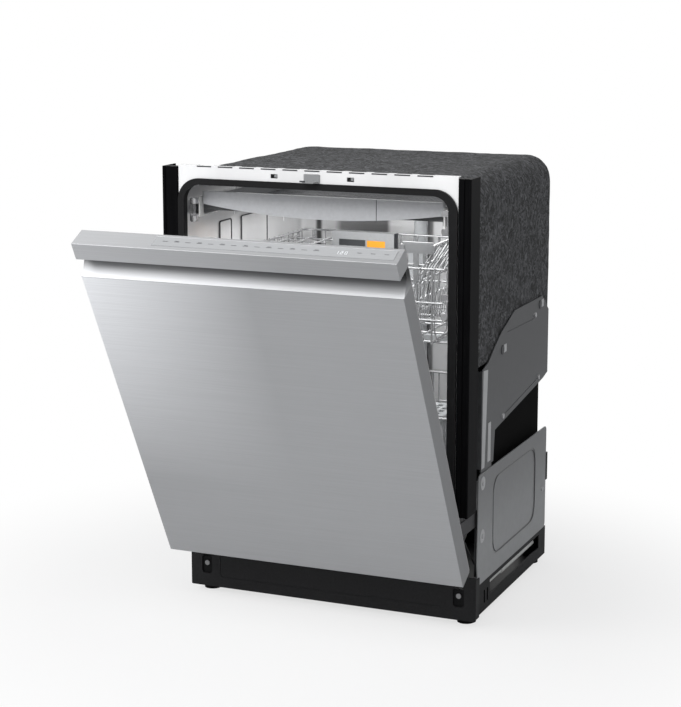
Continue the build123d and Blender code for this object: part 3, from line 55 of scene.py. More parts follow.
# The door leaf stands ajar, leaning out from its hinge line
LEAN = math.radians(28)
HINGE_DEPTH = 12.5
HINGE_HEIGHT = 203.5
HINGE = Vector((0, FLANGE_Y + HINGE_DEPTH * MM, HINGE_HEIGHT * MM))
UP_LEAF = Vector((0, -math.sin(LEAN), math.cos(LEAN)))
OUT_LEAF = Vector((0, -math.cos(LEAN), -math.sin(LEAN)))


def at(x, y, z):
    """A point given in millimetres, with its depth from the tub's flange."""
    return Vector((x * MM, FLANGE_Y + y * MM, z * MM))


def on_leaf(x, h, d):
    """A point of the door leaf: x across, h up from the hinge, d outwards, in millimetres."""
    return HINGE + Vector((x * MM, 0, 0)) + UP_LEAF * (h * MM) + OUT_LEAF * (d * MM)


def depth_of(y):
    """Where a depth behind the flange lies on the frame's Y axis, in metres."""
    return at(0, y, 0).y


def height_of(h, d):
    """How high a place on the door leaf lies in the frame, in metres."""
    return on_leaf(0, h, d).z


def evenly(first, last, count):
    """Places spread evenly from the first to the last."""
    return [first + (last - first) * i / (count - 1) for i in range(count)]


# Building blocks of the materials

GRAIN_DETAIL = 4
GRAIN_LOW = 0.3
GRAIN_HIGH = 0.7
LEAST_ROUGHNESS = 0.02
RELIEF_DEPTH = 0.001


def add_node(owner, kind, sockets=None, **settings):
    """A shader node of a material or world, with its settings and the values on its sockets."""
    node = owner.node_tree.nodes.new("ShaderNode" + kind)
    for setting, value in settings.items():
        setattr(node, setting, value)
    for socket, value in (sockets or {}).items():
        node.inputs[socket].default_value = value
    return node


def link(owner, source, target):
    owner.node_tree.links.new(source, target)


def calculate(owner, operation, *values):
    """The result of one arithmetic operation on values worked out in the tree."""
    node = add_node(owner, "Math", operation=operation)
    for socket, value in zip(node.inputs, values):
        link(owner, value, socket)
    return node.outputs["Value"]


def shader_of(m):
    return m.node_tree.nodes["Principled BSDF"]


def place_on(m):
    """The place on the machine, in metres."""
    return m.node_tree.nodes["Texture Coordinate"].outputs["Object"]


def along(m, axis, start, end, low, high, kind="SMOOTHSTEP"):
    """A value that runs from low to high between two places on an axis, in metres."""
    parts = add_node(m, "SeparateXYZ")
    link(m, place_on(m), parts.inputs["Vector"])
    run = add_node(m, "MapRange", {"From Min": start, "From Max": end, "To Min": low, "To Max": high},
                   interpolation_type=kind)
    link(m, parts.outputs[axis], run.inputs["Value"])
    return run.outputs["Result"]


def two_tones(m, value, low, high):
    """A colour between two: each has its place on the value's run, and its red, green and blue."""
    tones = add_node(m, "ValToRGB")
    for stop, (place, colour) in zip(tones.color_ramp.elements, (low, high)):
        stop.position = place
        stop.color = (*colour, 1)
    link(m, value, tones.inputs["Fac"])
    link(m, tones.outputs["Color"], shader_of(m).inputs["Base Color"])


def scaled_colour(m, factor):
    """The material's colour is multiplied by a factor worked out in its tree: the way light and shade are
    painted on.
    """
    shade = add_node(m, "VectorMath", operation="SCALE")
    link(m, m.node_tree.nodes["Color Ramp"].outputs["Color"], shade.inputs[0])
    link(m, factor, shade.inputs["Scale"])
    link(m, shade.outputs["Vector"], shader_of(m).inputs["Base Color"])


def add_relief(m, height, strength, depth):
    """Small relief on the surface, from a height worked out in the tree."""
    relief = add_node(m, "Bump", {"Strength": strength, "Distance": depth})
    link(m, height, relief.inputs["Height"])
    link(m, relief.outputs["Normal"], shader_of(m).inputs["Normal"])


def surface(name, metallic=0.0, roughness=0.5, rough_vary=0.05, scale=(30, 30, 30), specular=0.5):
    """A material whose roughness moves a little with noise in object space, and that noise."""
    m = bpy.data.materials.new(name)
    m.use_nodes = True
    shader_of(m).inputs["Metallic"].default_value = metallic
    shader_of(m).inputs["Specular IOR Level"].default_value = specular
    add_node(m, "TexCoord")
    stretch = add_node(m, "Mapping", {"Scale": scale})
    link(m, place_on(m), stretch.inputs["Vector"])
    grain = add_node(m, "TexNoise", {"Scale": 1.0, "Detail": GRAIN_DETAIL})
    link(m, stretch.outputs["Vector"], grain.inputs["Vector"])
    rough = add_node(m, "MapRange", {
        "To Min": max(LEAST_ROUGHNESS, roughness - rough_vary),
        "To Max": min(1.0, roughness + rough_vary),
    })
    link(m, grain.outputs["Fac"], rough.inputs["Value"])
    link(m, rough.outputs["Result"], shader_of(m).inputs["Roughness"])
    return m, grain.outputs["Fac"]


def material(name, colour, vary=0.06, bump=0.0, **finish_values):
    """A surface whose colour moves a little with its grain, with relief where bump is given."""
    m, grain = surface(name, **finish_values)
    low = [c * (1 - vary) for c in colour]
    high = [min(1.0, c * (1 + vary)) for c in colour]
    two_tones(m, grain, (GRAIN_LOW, low), (GRAIN_HIGH, high))
    if bump:
        add_relief(m, grain, bump, RELIEF_DEPTH)
    return m


# Steels with a brushed grain, and the light and shade that they carry

STEEL = (0.40, 0.405, 0.415)
BRUSHED = (6, 900, 900)
# GLOW is the strength of the door's painted highlight, EDGE_SHADE that of the painted shade on its right edge
GLOW = 1.4
EDGE_SHADE = 0.7

# Places across where the painted highlights and edge shade run, in metres
GLOW_LEFT = -0.3
GLOW_RIGHT = 0.02
SHEEN_RIGHT = 0.1
EDGE_FADE = (0.0009, 0.0002)

# Places on the door leaf, up from the hinge and outwards, in millimetres, where painted light and shade run
LEAF_FACE = 60
GLOW_FOOT = 110
GLOW_TOP = 600
RECESS_LIP = (585, 58)
RECESS_ROOF = (617, 36)


def brushed_steel(name):
    """Steel brushed from side to side."""
    return material(name, STEEL, metallic=0.7, roughness=0.4, vary=0.05, scale=BRUSHED, bump=0.05,
                    rough_vary=0.06)


def make_door_steel():
    """Brushed steel with a painted highlight towards its left upper corner and painted shade on its right
    edge.
    """
    m = brushed_steel("brushed door steel")
    foot = height_of(GLOW_FOOT, LEAF_FACE)
    top = height_of(GLOW_TOP, LEAF_FACE)
    across = along(m, "X", GLOW_LEFT, GLOW_RIGHT, 1.0, 0.0, "LINEAR")
    upwards = along(m, "Z", foot, top, 0.0, GLOW, "LINEAR")
    # Painted shade on the door's right edge
    fade_from, fade_to = [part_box("door_panel")[1][0] - inset for inset in EDGE_FADE]
    painted_edge_shade = along(m, "X", fade_from, fade_to, 1.0, EDGE_SHADE, "LINEAR")
    scaled_colour(m, calculate(m, "MULTIPLY_ADD", across, upwards, painted_edge_shade))
    return m


def make_console_steel():
    """Brushed steel with a painted highlight that makes it brighter towards the left."""
    m = brushed_steel("brushed console steel")
    scaled_colour(m, along(m, "X", GLOW_LEFT, SHEEN_RIGHT, 1.25, 0.9, "LINEAR"))
    return m


def make_recess_steel():
    """The handle recess: painted light at its lower lip, painted shade under the console, and a painted
    highlight towards the left.
    """
    m = material("recess steel", STEEL, metallic=0.3, roughness=0.45, vary=0.05, scale=BRUSHED, specular=0.2)
    upwards = along(m, "Z", height_of(*RECESS_LIP), height_of(*RECESS_ROOF), 1.15, 0.03)
    across = along(m, "X", GLOW_LEFT, SHEEN_RIGHT, 1.45, 0.95, "LINEAR")
    scaled_colour(m, calculate(m, "MULTIPLY", upwards, across))
    return m


# Sheet steels

GALVANISED_GRAIN = (70, 70, 70)

# Where the painted reflection bands of the rear sheet set in on the frame's Y axis, in metres
REAR_FROM = 0.405
REAR_TO = 0.43

# The rear sheet's inner face and just behind it, and its painted reflection tone at places across, in
# millimetres
REAR_FACE = 541.2
BEHIND_REAR_FACE = 541.6
TUB_HALF = 260
PAINTED_REAR_REFLECTIONS = (
    (-232, 1.0), (-226, 0.1), (-219, 0.1), (-213, 0.95), (-186, 0.9), (-170, 0.3),
    (-66, 0.18), (-56, 0.9), (3, 1.0), (8, 0.35), (36, 0.35), (41, 1.0),
)


def rear_sheet_share(m):
    """Where the painted reflection bands lie: a share that is full at the rear of the tub's inside, up to the
    inner face of the rear sheet.
    """
    reached = along(m, "Y", REAR_FROM, REAR_TO, 0.0, 1.0)
    inner_face = along(m, "Y", depth_of(REAR_FACE), depth_of(BEHIND_REAR_FACE), 1.0, 0.0)
    return calculate(m, "MULTIPLY", reached, inner_face)


def make_tub_steel():
    """Polished steel with upright dark and light bands of painted reflection and shade on the rear sheet, and
    a painted highlight that makes it brightest at the flange.
    """
    m = material("polished tub steel", (0.76, 0.76, 0.765), metallic=0.45, roughness=0.26, vary=0.1,
                 scale=(7, 7, 1.5))
    bands = add_node(m, "ValToRGB")
    stops = bands.color_ramp.elements
    for i, (x, tone) in enumerate(PAINTED_REAR_REFLECTIONS):
        place = (x + TUB_HALF) / (2 * TUB_HALF)
        stop = stops[i] if i < 2 else stops.new(place)
        stop.position = place
        stop.color = (tone, tone, tone, 1)
    link(m, along(m, "X", -TUB_HALF * MM, TUB_HALF * MM, 0.0, 1.0, "LINEAR"), bands.inputs["Fac"])
    mixed = add_node(m, "Mix", {"A": 1.0})
    link(m, rear_sheet_share(m), mixed.inputs["Factor"])
    link(m, bands.outputs["Color"], mixed.inputs["B"])
    # Painted highlight on the flange at the tub's front
    flange_light = along(m, "Y", depth_of(1), depth_of(6), 1.3, 1.0)
    scaled_colour(m, calculate(m, "MULTIPLY", mixed.outputs["Result"], flange_light))
    return m


def make_screw_metal():
    """Bright screws, with painted shade that darkens them where they stand close behind the flange."""
    m = material("screw metal", (0.5, 0.5, 0.51), metallic=0.8, roughness=0.35, vary=0.1)
    scaled_colour(m, along(m, "Y", depth_of(60), depth_of(100), 0.06, 1.0))
    return m


def make_galvanised():
    """Dull sheet, with painted shade that makes it a little darker towards its top."""
    m = material("galvanised sheet", (0.115, 0.118, 0.122), metallic=0.4, roughness=0.45, vary=0.1,
                 scale=GALVANISED_GRAIN, bump=0.04)
    scaled_colour(m, along(m, "Z", 0.3, 0.6, 0.95, 0.7))
    return m


def make_light_sheet():
    """Paler sheet, with painted light at its foot and painted shade above."""
    m = material("light galvanised sheet", (0.27, 0.275, 0.28), metallic=0.45, roughness=0.4, vary=0.06,
                 scale=GALVANISED_GRAIN, bump=0.04)
    scaled_colour(m, along(m, "Z", 0.11, 0.3, 1.25, 0.75))
    return m


def make_felt():
    """Dark pressed felt of short fibres: streaks bent by a coarser noise, and a rough relief."""
    bend = (0.045, 0.045, 0.045)
    thin_fibres = (0.45, (0.006, 0.0065, 0.007))
    thick_fibres = (0.72, (0.2, 0.204, 0.215))
    m = surface("pressed felt", roughness=0.95, scale=(60, 60, 60))[0]
    warp = add_node(m, "TexNoise", {"Scale": 28})
    link(m, place_on(m), warp.inputs["Vector"])
    bent = add_node(m, "VectorMath", {1: bend}, operation="MULTIPLY_ADD")
    link(m, warp.outputs["Color"], bent.inputs[0])
    link(m, place_on(m), bent.inputs[2])
    streak = add_node(m, "TexNoise", {"Scale": 85, "Detail": 6, "Roughness": 0.7, "Distortion": 1.4})
    link(m, bent.outputs["Vector"], streak.inputs["Vector"])
    two_tones(m, streak.outputs["Fac"], thin_fibres, thick_fibres)
    add_relief(m, streak.outputs["Fac"], 0.9, 2 * RELIEF_DEPTH)
    return m


# Materials

door_steel = make_door_steel()
console_steel = make_console_steel()
recess_steel = make_recess_steel()
tub_steel = make_tub_steel()
screw_metal = make_screw_metal()
galvanised = make_galvanised()
light_sheet = make_light_sheet()
felt = make_felt()
liner_steel = material("liner steel", (0.5, 0.5, 0.505), metallic=0.5, roughness=0.3, vary=0.05,
                       scale=(9, 9, 9))
dark_steel = material("blackened steel", (0.03, 0.03, 0.032), metallic=0.6, roughness=0.45, vary=0.2)
bright_metal = material("zinc plated steel", (0.62, 0.62, 0.63), metallic=0.95, roughness=0.25)
wire_metal = material("bright coated wire", (0.42, 0.425, 0.43), metallic=0.6, roughness=0.22, vary=0.08)
mesh_dark = material("tray mesh", (0.07, 0.072, 0.075), metallic=0.2, roughness=0.4, vary=0.1)
plate_grey = material("plate grey", (0.25, 0.255, 0.26), roughness=0.4, vary=0.04, scale=(160, 160, 160))
# Painted shade for the tub wall's creases and the side sheets' embossed outlines
crease_dark = material("crease shade", (0.05, 0.05, 0.052), metallic=0.3, vary=0.1)
emboss_shade = material("emboss shade", (0.13, 0.132, 0.136), metallic=0.4, roughness=0.45, vary=0.1)
# Pale sheet: painted highlight on the braces' folded edges, and the colour of the side sheets' bosses and
# keyhole patches
lip_steel = material("folded edge", (0.5, 0.505, 0.51), metallic=0.45, roughness=0.35)
black_plastic = material("black plastic", (0.004, 0.004, 0.0045), roughness=0.42, vary=0.2,
                         scale=(200, 200, 200), bump=0.05, specular=0.1)
toe_black = material("toe plastic", (0.014, 0.014, 0.015), vary=0.15, scale=(200, 200, 200), bump=0.05,
                     specular=0.15)
trim_black = material("ribbed trim", (0.004, 0.004, 0.0045), roughness=0.4, vary=0.2, scale=(90, 90, 12),
                      specular=0.02)
pad_black = material("bitumen pad", (0.003, 0.003, 0.003), roughness=0.8, vary=0.3, scale=(90, 90, 90),
                     bump=0.2, specular=0.03)
rubber = material("gasket rubber", (0.004, 0.004, 0.0045), roughness=0.6, vary=0.25, scale=(120, 120, 120),
                  specular=0.2)
grey_plastic = material("grey nylon", (0.36, 0.37, 0.38), roughness=0.42, vary=0.05, scale=(160, 160, 160),
                        bump=0.04)
tray_plastic = material("pearl grey plastic", (0.5, 0.508, 0.525), metallic=0.1, roughness=0.4, vary=0.04,
                        scale=(160, 160, 160))
light_plastic = material("pale plastic", (0.68, 0.68, 0.67), roughness=0.45, vary=0.04,
                         scale=(140, 140, 140))
strip_finish = material("touch strip", (0.42, 0.43, 0.44), metallic=0.5, roughness=0.22, vary=0.03,
                        scale=(6, 600, 600))
mark_ink = material("printed marks", (0.015, 0.015, 0.017), roughness=0.7, vary=0.1, specular=0.1)
lit_mark = material("lit digits", (0.9, 0.92, 0.95), roughness=0.4, vary=0.02)
amber = material("amber patch", (0.66, 0.27, 0.025), roughness=0.6, specular=0.2)
# Dark for seams, slots and clips; in the lip's gaps and on the label plate's side it is painted shade
dark_slot = material("dark slot", (0.03, 0.032, 0.035), vary=0.2)
board_green = material("circuit board", (0.03, 0.13, 0.06), vary=0.15)

finish = {
    "tub": tub_steel, "tub_gasket": rubber, "side_pads": pad_black, "trim_strips": trim_black,
    "door_strike": plate_grey, "base_pan": black_plastic, "toe_panel": toe_black,
    "side_braces": galvanised, "side_panels": light_sheet, "hinge_brackets": dark_steel,
    "door_springs": dark_steel, "sump": grey_plastic, "wash_pump": light_plastic,
    "drain_pump": light_plastic, "inlet_valve": light_plastic, "junction_box": light_sheet,
    "feed_tube": grey_plastic, "filter_plate": tub_steel, "rack_rails": bright_metal,
    "screws": screw_metal, "rear_foot_rods": light_plastic, "door_panel": door_steel,
    "handle_pocket": recess_steel, "control_console": console_steel, "touch_strip": strip_finish,
    "control_board": board_green, "door_liner": liner_steel, "hinge_arms": dark_steel,
    "dispenser": grey_plastic, "detergent_lid": grey_plastic, "rinse_aid_cap": black_plastic,
    "dispenser_button": light_plastic, "door_latch": bright_metal, "third_rack": mesh_dark,
    "third_rack_front": tray_plastic, "third_slides": bright_metal, "upper_runners": grey_plastic,
    "upper_slides": bright_metal, "upper_rack": wire_metal, "label_plate": plate_grey,
    "upper_duct": grey_plastic, "cup_shelf_left": wire_metal, "cup_shelf_right": wire_metal,
    "upper_spray_arm": grey_plastic, "lower_rack": wire_metal, "lower_tines": wire_metal,
    "wheels_front": grey_plastic, "wheels_rear": grey_plastic, "silverware_basket": grey_plastic,
    "silverware_lid": grey_plastic, "lower_spray_arm": grey_plastic, "top_spray_arm": grey_plastic,
    "filter_cylinder": grey_plastic, "float": light_plastic, "front_left_foot": black_plastic,
    "front_right_foot": black_plastic, "rear_left_foot": black_plastic, "rear_right_foot": black_plastic,
    "sound_blanket": felt, "door_insulation": felt,
}
for name, look in finish.items():
    node = nodes[name]
    node.data.materials.clear()
    node.data.materials.append(look)

# Softly broken edges on the large plates, with the width of each

EDGE_WIDTHS = {"door_panel": 1.0, "control_console": 1.4, "toe_panel": 0.8, "third_rack_front": 1.2}
SHARP_FROM = math.radians(40)
SAME_PLACE = 0.00001

for name, width in EDGE_WIDTHS.items():
    joined = nodes[name].modifiers.new("joined", "WELD")
    joined.merge_threshold = SAME_PLACE
    bevel = nodes[name].modifiers.new("soft edges", "BEVEL")
    bevel.width = width * MM
    bevel.segments = 2
    bevel.limit_method = "ANGLE"
    bevel.angle_limit = SHARP_FROM
    bevel.harden_normals = True

# Building blocks of the pieces


def mesh_object(name, mesh, look, body):
    """A piece with its finish, riding on a body."""
    piece = bpy.data.objects.new(name, mesh)
    bpy.context.scene.collection.objects.link(piece)
    mesh.materials.append(look)
    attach(piece, body)
    return piece


def written(name, bm):
    """A new mesh with what the bmesh holds."""
    mesh = bpy.data.meshes.new(name)
    bm.to_mesh(mesh)
    bm.free()
    return mesh


def add_box(bm, low, high):
    """An upright box between two corners."""
    grown = bmesh.ops.create_cube(bm, size=1.0)["verts"]
    bmesh.ops.scale(bm, vec=high - low, verts=grown)
    bmesh.ops.translate(bm, vec=(low + high) / 2, verts=grown)
    return grown


def block(across, deep, high):
    """The two corners of an upright box, from its spans across, in depth and in height, in millimetres."""
    return [at(*corner) for corner in zip(across, deep, high)]


def about(middle, half):
    """The span that reaches as far on both sides of its middle."""
    return (middle - half, middle + half)


def on_side(sign, near, far):
    """The span between two distances from the middle, on the left where the sign is negative."""
    return sorted((sign * near, sign * far))


def boxes(name, corners, look, body):
    """One piece of upright boxes, each given by its two corners."""
    bm = bmesh.new()
    for low, high in corners:
        add_box(bm, low, high)
    return mesh_object(name, written(name, bm), look, body)


def leaf_boxes(name, spans, look):
    """One piece of boxes that lie square to the door leaf: each ((x, h, d), (x, h, d)) in millimetres."""
    bm = bmesh.new()
    turn = Matrix((Vector((1, 0, 0)), UP_LEAF, OUT_LEAF)).transposed().to_4x4()
    for low, high in spans:
        grown = add_box(bm, Vector(low) * MM, Vector(high) * MM)
        bmesh.ops.transform(bm, matrix=Matrix.Translation(HINGE) @ turn, verts=grown)
    bmesh.ops.recalc_face_normals(bm, faces=bm.faces)
    return mesh_object(name, written(name, bm), look, "door")


def rounded(points, radius, closed, steps=5):
    """The corners of a path cut by curves of about that radius."""
    longest_cut = 0.45
    count = len(points)
    path = []
    for i, p in enumerate(points):
        if not closed and i in (0, count - 1):
            path.append(p)
            continue
        a = points[i - 1] - p
        b = points[(i + 1) % count] - p
        cut = min(radius, a.length * longest_cut, b.length * longest_cut)
        start = p + a.normalized() * cut
        end = p + b.normalized() * cut
        for k in range(steps + 1):
            t = k / steps
            path.append(start * (1 - t) ** 2 + p * 2 * t * (1 - t) + end * t**2)
    return path


def wires(name, paths, radius, look, body, bend, closed=False):
    """One piece of bent round wires, each given by its corner points."""
    curve = bpy.data.curves.new(name, "CURVE")
    curve.dimensions = "3D"
    curve.bevel_depth = radius * MM
    curve.bevel_resolution = 2
    curve.use_fill_caps = True
    for points in paths:
        path = rounded(points, bend * MM, closed)
        spline = curve.splines.new("POLY")
        spline.points.add(len(path) - 1)
        for slot, p in zip(spline.points, path):
            slot.co = (*p, 1)
        spline.use_cyclic_u = closed
    holder = bpy.data.objects.new(name + "_path", curve)
    mesh = bpy.data.meshes.new_from_object(holder)
    bpy.data.objects.remove(holder)
    bpy.data.curves.remove(curve)
    mesh.name = name
    mesh.polygons.foreach_set("use_smooth", [True] * len(mesh.polygons))
    mesh.materials.clear()
    return mesh_object(name, mesh, look, body)


def hoop(x, y, foot, top, lean, span):
    """A tine: up from the basket's floor, along by its span, and down again."""
    return [at(x, y, foot), at(x + lean, y, top), at(x + lean, y + span, top), at(x, y + span, foot)]


# Felt jacket

# In metres, and each lump by its fineness and share
VOXEL = 0.0055
PRESSED_BY = 0.0022
LUMPS = ((14, 0.5), (45, 0.3))
LEVEL_PRESS = 0.6


def even_mesh(piece):
    """The piece's mesh made again in even squares."""
    remesh = piece.modifiers.new("even", "REMESH")
    remesh.mode = "VOXEL"
    remesh.voxel_size = VOXEL
    remesh.adaptivity = 0.0
    mesh = bpy.data.meshes.new_from_object(piece.evaluated_get(bpy.context.evaluated_depsgraph_get()))
    piece.modifiers.clear()
    return mesh


bm = bmesh.new()
bm.from_mesh(nodes["sound_blanket"].data)
bmesh.ops.remove_doubles(bm, verts=bm.verts, dist=SAME_PLACE)
jacket = mesh_object("felt_jacket", written("felt_jacket", bm), felt, "cabinet")
shaped = even_mesh(jacket)
jacket.data = shaped
pressed = []
for place, normal in [(v.co.copy(), v.normal.copy()) for v in shaped.vertices]:
    lump = sum(noise.noise(place * fineness) * share for fineness, share in LUMPS)
    pressed.extend(place - normal * (PRESSED_BY * (LEVEL_PRESS + lump)))
shaped.vertices.foreach_set("co", pressed)
shaped.polygons.foreach_set("use_smooth", [True] * len(shaped.polygons))
shaped.update()
shaped.materials.clear()
shaped.materials.append(felt)
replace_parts(jacket, "sound_blanket")

# Touch marks on the console, the display and the seam below the handle recess

STRIP_TOP = 653.52
MARK_TOP = 653.62
DIGIT_TOP = 653.64
SEAM_HALF = 301.4
FIRST_MARK = -128
MARK_PITCH = 21.5

marks = []
for i in range(14):
    x = FIRST_MARK + i * MARK_PITCH
    marks.append(((x - 5, STRIP_TOP, 36.2), (x + 5, MARK_TOP, 37.1)))
    if i % 2:
        marks.append(((x - 3.5, STRIP_TOP, 34.0), (x + 3.5, MARK_TOP, 34.9)))
for x in (228, 252, 276):
    marks.append(((x - 4, STRIP_TOP, 35.6), (x + 4, MARK_TOP, 36.6)))
leaf_boxes("touch_marks", marks, mark_ink)

LIT_BARS = {"1": "bc", "2": "abged", "0": "abcdef"}
DIGIT_WIDTH = 4.4
DIGIT_HEIGHT = 8.0
DIGIT_REAR = 34.0
BAR = 0.8


def digit(x, char):
    """The lit bars of one display digit, its top towards the door's back."""
    right = x + DIGIT_WIDTH
    rear = DIGIT_REAR
    front = rear + DIGIT_HEIGHT
    middle = (rear + front) / 2
    bars = {
        "a": ((x, rear), (right, rear + BAR)),
        "b": ((right - BAR, rear), (right, middle)),
        "c": ((right - BAR, middle), (right, front)),
        "d": ((x, front - BAR), (right, front)),
        "e": ((x, middle), (x + BAR, front)),
        "f": ((x, rear), (x + BAR, middle)),
        "g": ((x, middle - BAR / 2), (right, middle + BAR / 2)),
    }
    lit_bars = [bars[letter] for letter in LIT_BARS[char]]
    return [((x0, STRIP_TOP, d0), (x1, DIGIT_TOP, d1)) for (x0, d0), (x1, d1) in lit_bars]


lit = []
for x, char in ((187, "1"), (195, "2"), (203, "0")):
    lit += digit(x, char)
leaf_boxes("display_digits", lit, lit_mark)
leaf_boxes("pocket_seam", [((-SEAM_HALF, 582.6, 59.2), (SEAM_HALF, 583.3, 59.9))], dark_slot)

# Third rack: the fine mesh of its floor, the seam of its front plate and its end clips

TRAY_ACROSS = (-234, 234)
TRAY_DEPTH = (48, 482)
TRAY_FLOOR = 773.2
MESH_BAR = 1.0
MESH_CROSSING = 0.3
CLIP_INSIDE = 244.2
CLIP_OUTSIDE = 247.4

lower_bars = (TRAY_FLOOR, TRAY_FLOOR + MESH_BAR)
crossing = TRAY_FLOOR + MESH_CROSSING
upper_bars = (crossing, crossing + MESH_BAR)
mesh_bars = [block(about(x, MESH_BAR / 2), TRAY_DEPTH, lower_bars) for x in evenly(*TRAY_ACROSS, 60)]
mesh_bars += [block(TRAY_ACROSS, about(y, MESH_BAR / 2), upper_bars) for y in evenly(*TRAY_DEPTH, 56)]
boxes("tray_mesh", mesh_bars, mesh_dark, "third_tray")
boxes("tray_seam", [block(about(112, 0.6), (35.7, 36.1), (764, 805))], dark_slot, "third_tray")
end_clips = [block(on_side(sign, CLIP_INSIDE, CLIP_OUTSIDE), (30, 46), (757, 796)) for sign in SIDES]
boxes("tray_end_clips", end_clips, light_plastic, "third_tray")

# Upper and lower racks: bent rims, upright wires along the sides and ends, and tines

RIM_WIRE = 2.1


def basket(prefix, body, rim, wall, floor, side_places, end_places, thick, rim_bend, bend):
    """The rim and upright wires of one basket.

    The rim is given by its half width, front, rear and height, the walls by their half width, front,
    rear, top and knee, and the floor that the wires run in to by its half width, front, rear and height.
    """
    half, front, rear, height = rim
    corners = [at(x, y, height) for x, y in ((-half, front), (half, front), (half, rear), (-half, rear))]
    wires(prefix + "_rim", [corners], RIM_WIRE, wire_metal, body, bend=rim_bend, closed=True)
    wall_half, wall_front, wall_rear, top, knee = wall
    floor_half, floor_front, floor_rear, foot = floor
    side_wires = []
    for y in side_places:
        for sign in SIDES:
            x = sign * wall_half
            side_wires.append([at(x, y, top), at(x, y, knee), at(sign * floor_half, y, foot)])
    wires(prefix + "_side_wires", side_wires, thick, wire_metal, body, bend=bend)
    end_wires = []
    for x in end_places:
        for y, inwards in ((wall_front, floor_front), (wall_rear, floor_rear)):
            end_wires.append([at(x, y, top), at(x, y, knee), at(x, inwards, foot)])
    wires(prefix + "_end_wires", end_wires, thick, wire_metal, body, bend=bend)


basket("upper", "upper_basket", rim=(230, 72, 488, 678), wall=(233, 69.5, 490, 680, 560),
       floor=(205, 92, 468, 541), side_places=evenly(84, 476, 18), end_places=evenly(-214, 214, 16),
       thick=1.3, rim_bend=26, bend=14)
tines = []
for x in (-150, -60, 55, 120):
    outwards = math.copysign(9, x)
    tines += [hoop(x, y, foot=542, top=596, lean=outwards, span=11) for y in evenly(96, 460, 15)]
wires("upper_tines", tines, 1.3, wire_metal, "upper_basket", bend=5)

basket("lower", "lower_basket", rim=(238, 70, 458, 400), wall=(241, 67, 461, 400, 250),
       floor=(214, 92, 436, 227), side_places=evenly(80, 448, 15), end_places=evenly(-215, 215, 14),
       thick=1.4, rim_bend=24, bend=18)
tines = []
for x in (-60, 0, 70):
    tines += [hoop(x, y, foot=229, top=296, lean=6, span=12) for y in evenly(98, 430, 14)]
wires("lower_bowl_tines", tines, 1.5, wire_metal, "lower_basket", bend=5)

# Label plate: bare, with a slot, a plain patch and painted shade on its right side

plate_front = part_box("label_plate")[0][1] / MM - FLANGE_Y / MM
let_in = plate_front + 0.2
boxes("label_slot", [block((-143, -84), (plate_front - 0.4, let_in), (652, 665))], dark_slot, "upper_basket")
boxes("label_patch", [block((-80, -40), (plate_front - 0.5, let_in), (647, 664))], amber, "upper_basket")
# A dark sheet of painted shade on the plate's right side
boxes("label_side_shade", [block((-19.9, -19.2), (plate_front, plate_front + 21), (641, 681))], dark_slot,
      "upper_basket")

# Front clip of the right cup shelf and its leaning tines

CLIP_LEFT = 138
CLIP_RIGHT = 198
CLIP_FOOT = 701
CLIP_DEPTH = (102, 106)

clip_bars = [block((CLIP_LEFT, CLIP_RIGHT), CLIP_DEPTH, (CLIP_FOOT, 722)),
             block((161, 169), CLIP_DEPTH, (648, CLIP_FOOT))]
clip_bars += [block(about(x, 4), about(104, 4), (706, 717)) for x in (CLIP_LEFT, CLIP_RIGHT)]
boxes("shelf_clip", clip_bars, plate_grey, "upper_basket")
leaning = []
for y in evenly(116, 276, 9):
    leaning.append([at(160, y, 652), at(207, y, 722), at(213, y + 9, 718), at(170, y + 9, 652)])
wires("shelf_tines", leaning, 1.4, wire_metal, "right_shelf", bend=6)

# Painted shade lines in the creases around the pressed panels of the tub's left wall

LEFT_WALL = -265.8
CREASE_FOOT = 236
CREASE_TOP = 732

creases = []
for near, far in ((155, 206), (252, 372)):
    outline = ((near, CREASE_FOOT), (near, CREASE_TOP), (far, CREASE_TOP), (far, CREASE_FOOT))
    creases.append([at(LEFT_WALL, y, z) for y, z in outline])
wires("wall_crease_shade", creases, 1.5, crease_dark, "cabinet", bend=5)

# Painted shade in the gaps along the top lip; the strike's hook and the tabs in the bracket windows

HOOK_PLACE = Vector((0, -0.3, 2.5)) * MM
HOOK_SIZE = Vector((11, 0.6, 3)) * MM
WINDOW = 76

# Dark dashes of painted shade in the notches of the top lip
dashes = [block(about(x, 15), (-0.3, 0), (855.2, 857.6)) for x in evenly(-220, 220, 11)]
boxes("lip_gap_shade", dashes, dark_slot, "cabinet")
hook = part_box("door_strike")[0] + HOOK_PLACE
boxes("strike_hook", [(hook, hook + HOOK_SIZE)], dark_slot, "cabinet")
tabs = [block((x + 1, x + 6), (-0.4, 1.2), (842, 847)) for x in (-WINDOW, WINDOW)]
boxes("window_tabs", tabs, plate_grey, "cabinet")

# Side sheets, right and left: folded edges as pale plates of painted highlight, clips, bosses, and embossed
# outlines in painted shade

SHEET_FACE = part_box("side_panels")[1][0] / MM
KEYHOLES = (("front_keyhole", 238, 504), ("rear_keyhole", 479, 553))
BOSS_DEPTH = 131
BOSS_HEIGHTS = (("upper_boss", 268), ("lower_boss", 165))
EMBOSS = ((195, 108), (465, 108), (465, 262), (195, 262))
REAR_CLIP = 291


def side_plate(name, outline, look, thick=0.5):
    """A thin plate on both outer sides: its outline as (y, z) points."""
    bm = bmesh.new()
    for sign in SIDES:
        face = bm.faces.new([bm.verts.new(at(sign * SHEET_FACE, y, z)) for y, z in outline])
        grown = bmesh.ops.extrude_face_region(bm, geom=[face])["geom"]
        moved = [g for g in grown if isinstance(g, bmesh.types.BMVert)]
        bmesh.ops.translate(bm, vec=Vector((sign * thick * MM, 0, 0)), verts=moved)
    bmesh.ops.recalc_face_normals(bm, faces=bm.faces)
    return mesh_object(name, written(name, bm), look, "cabinet")


def oval(y, z, half_depth, half_height, count=24):
    """The outline of a round or oval plate."""
    turns = [i * 2 * math.pi / count for i in range(count)]
    return [(y + half_depth * math.cos(turn), z + half_height * math.sin(turn)) for turn in turns]
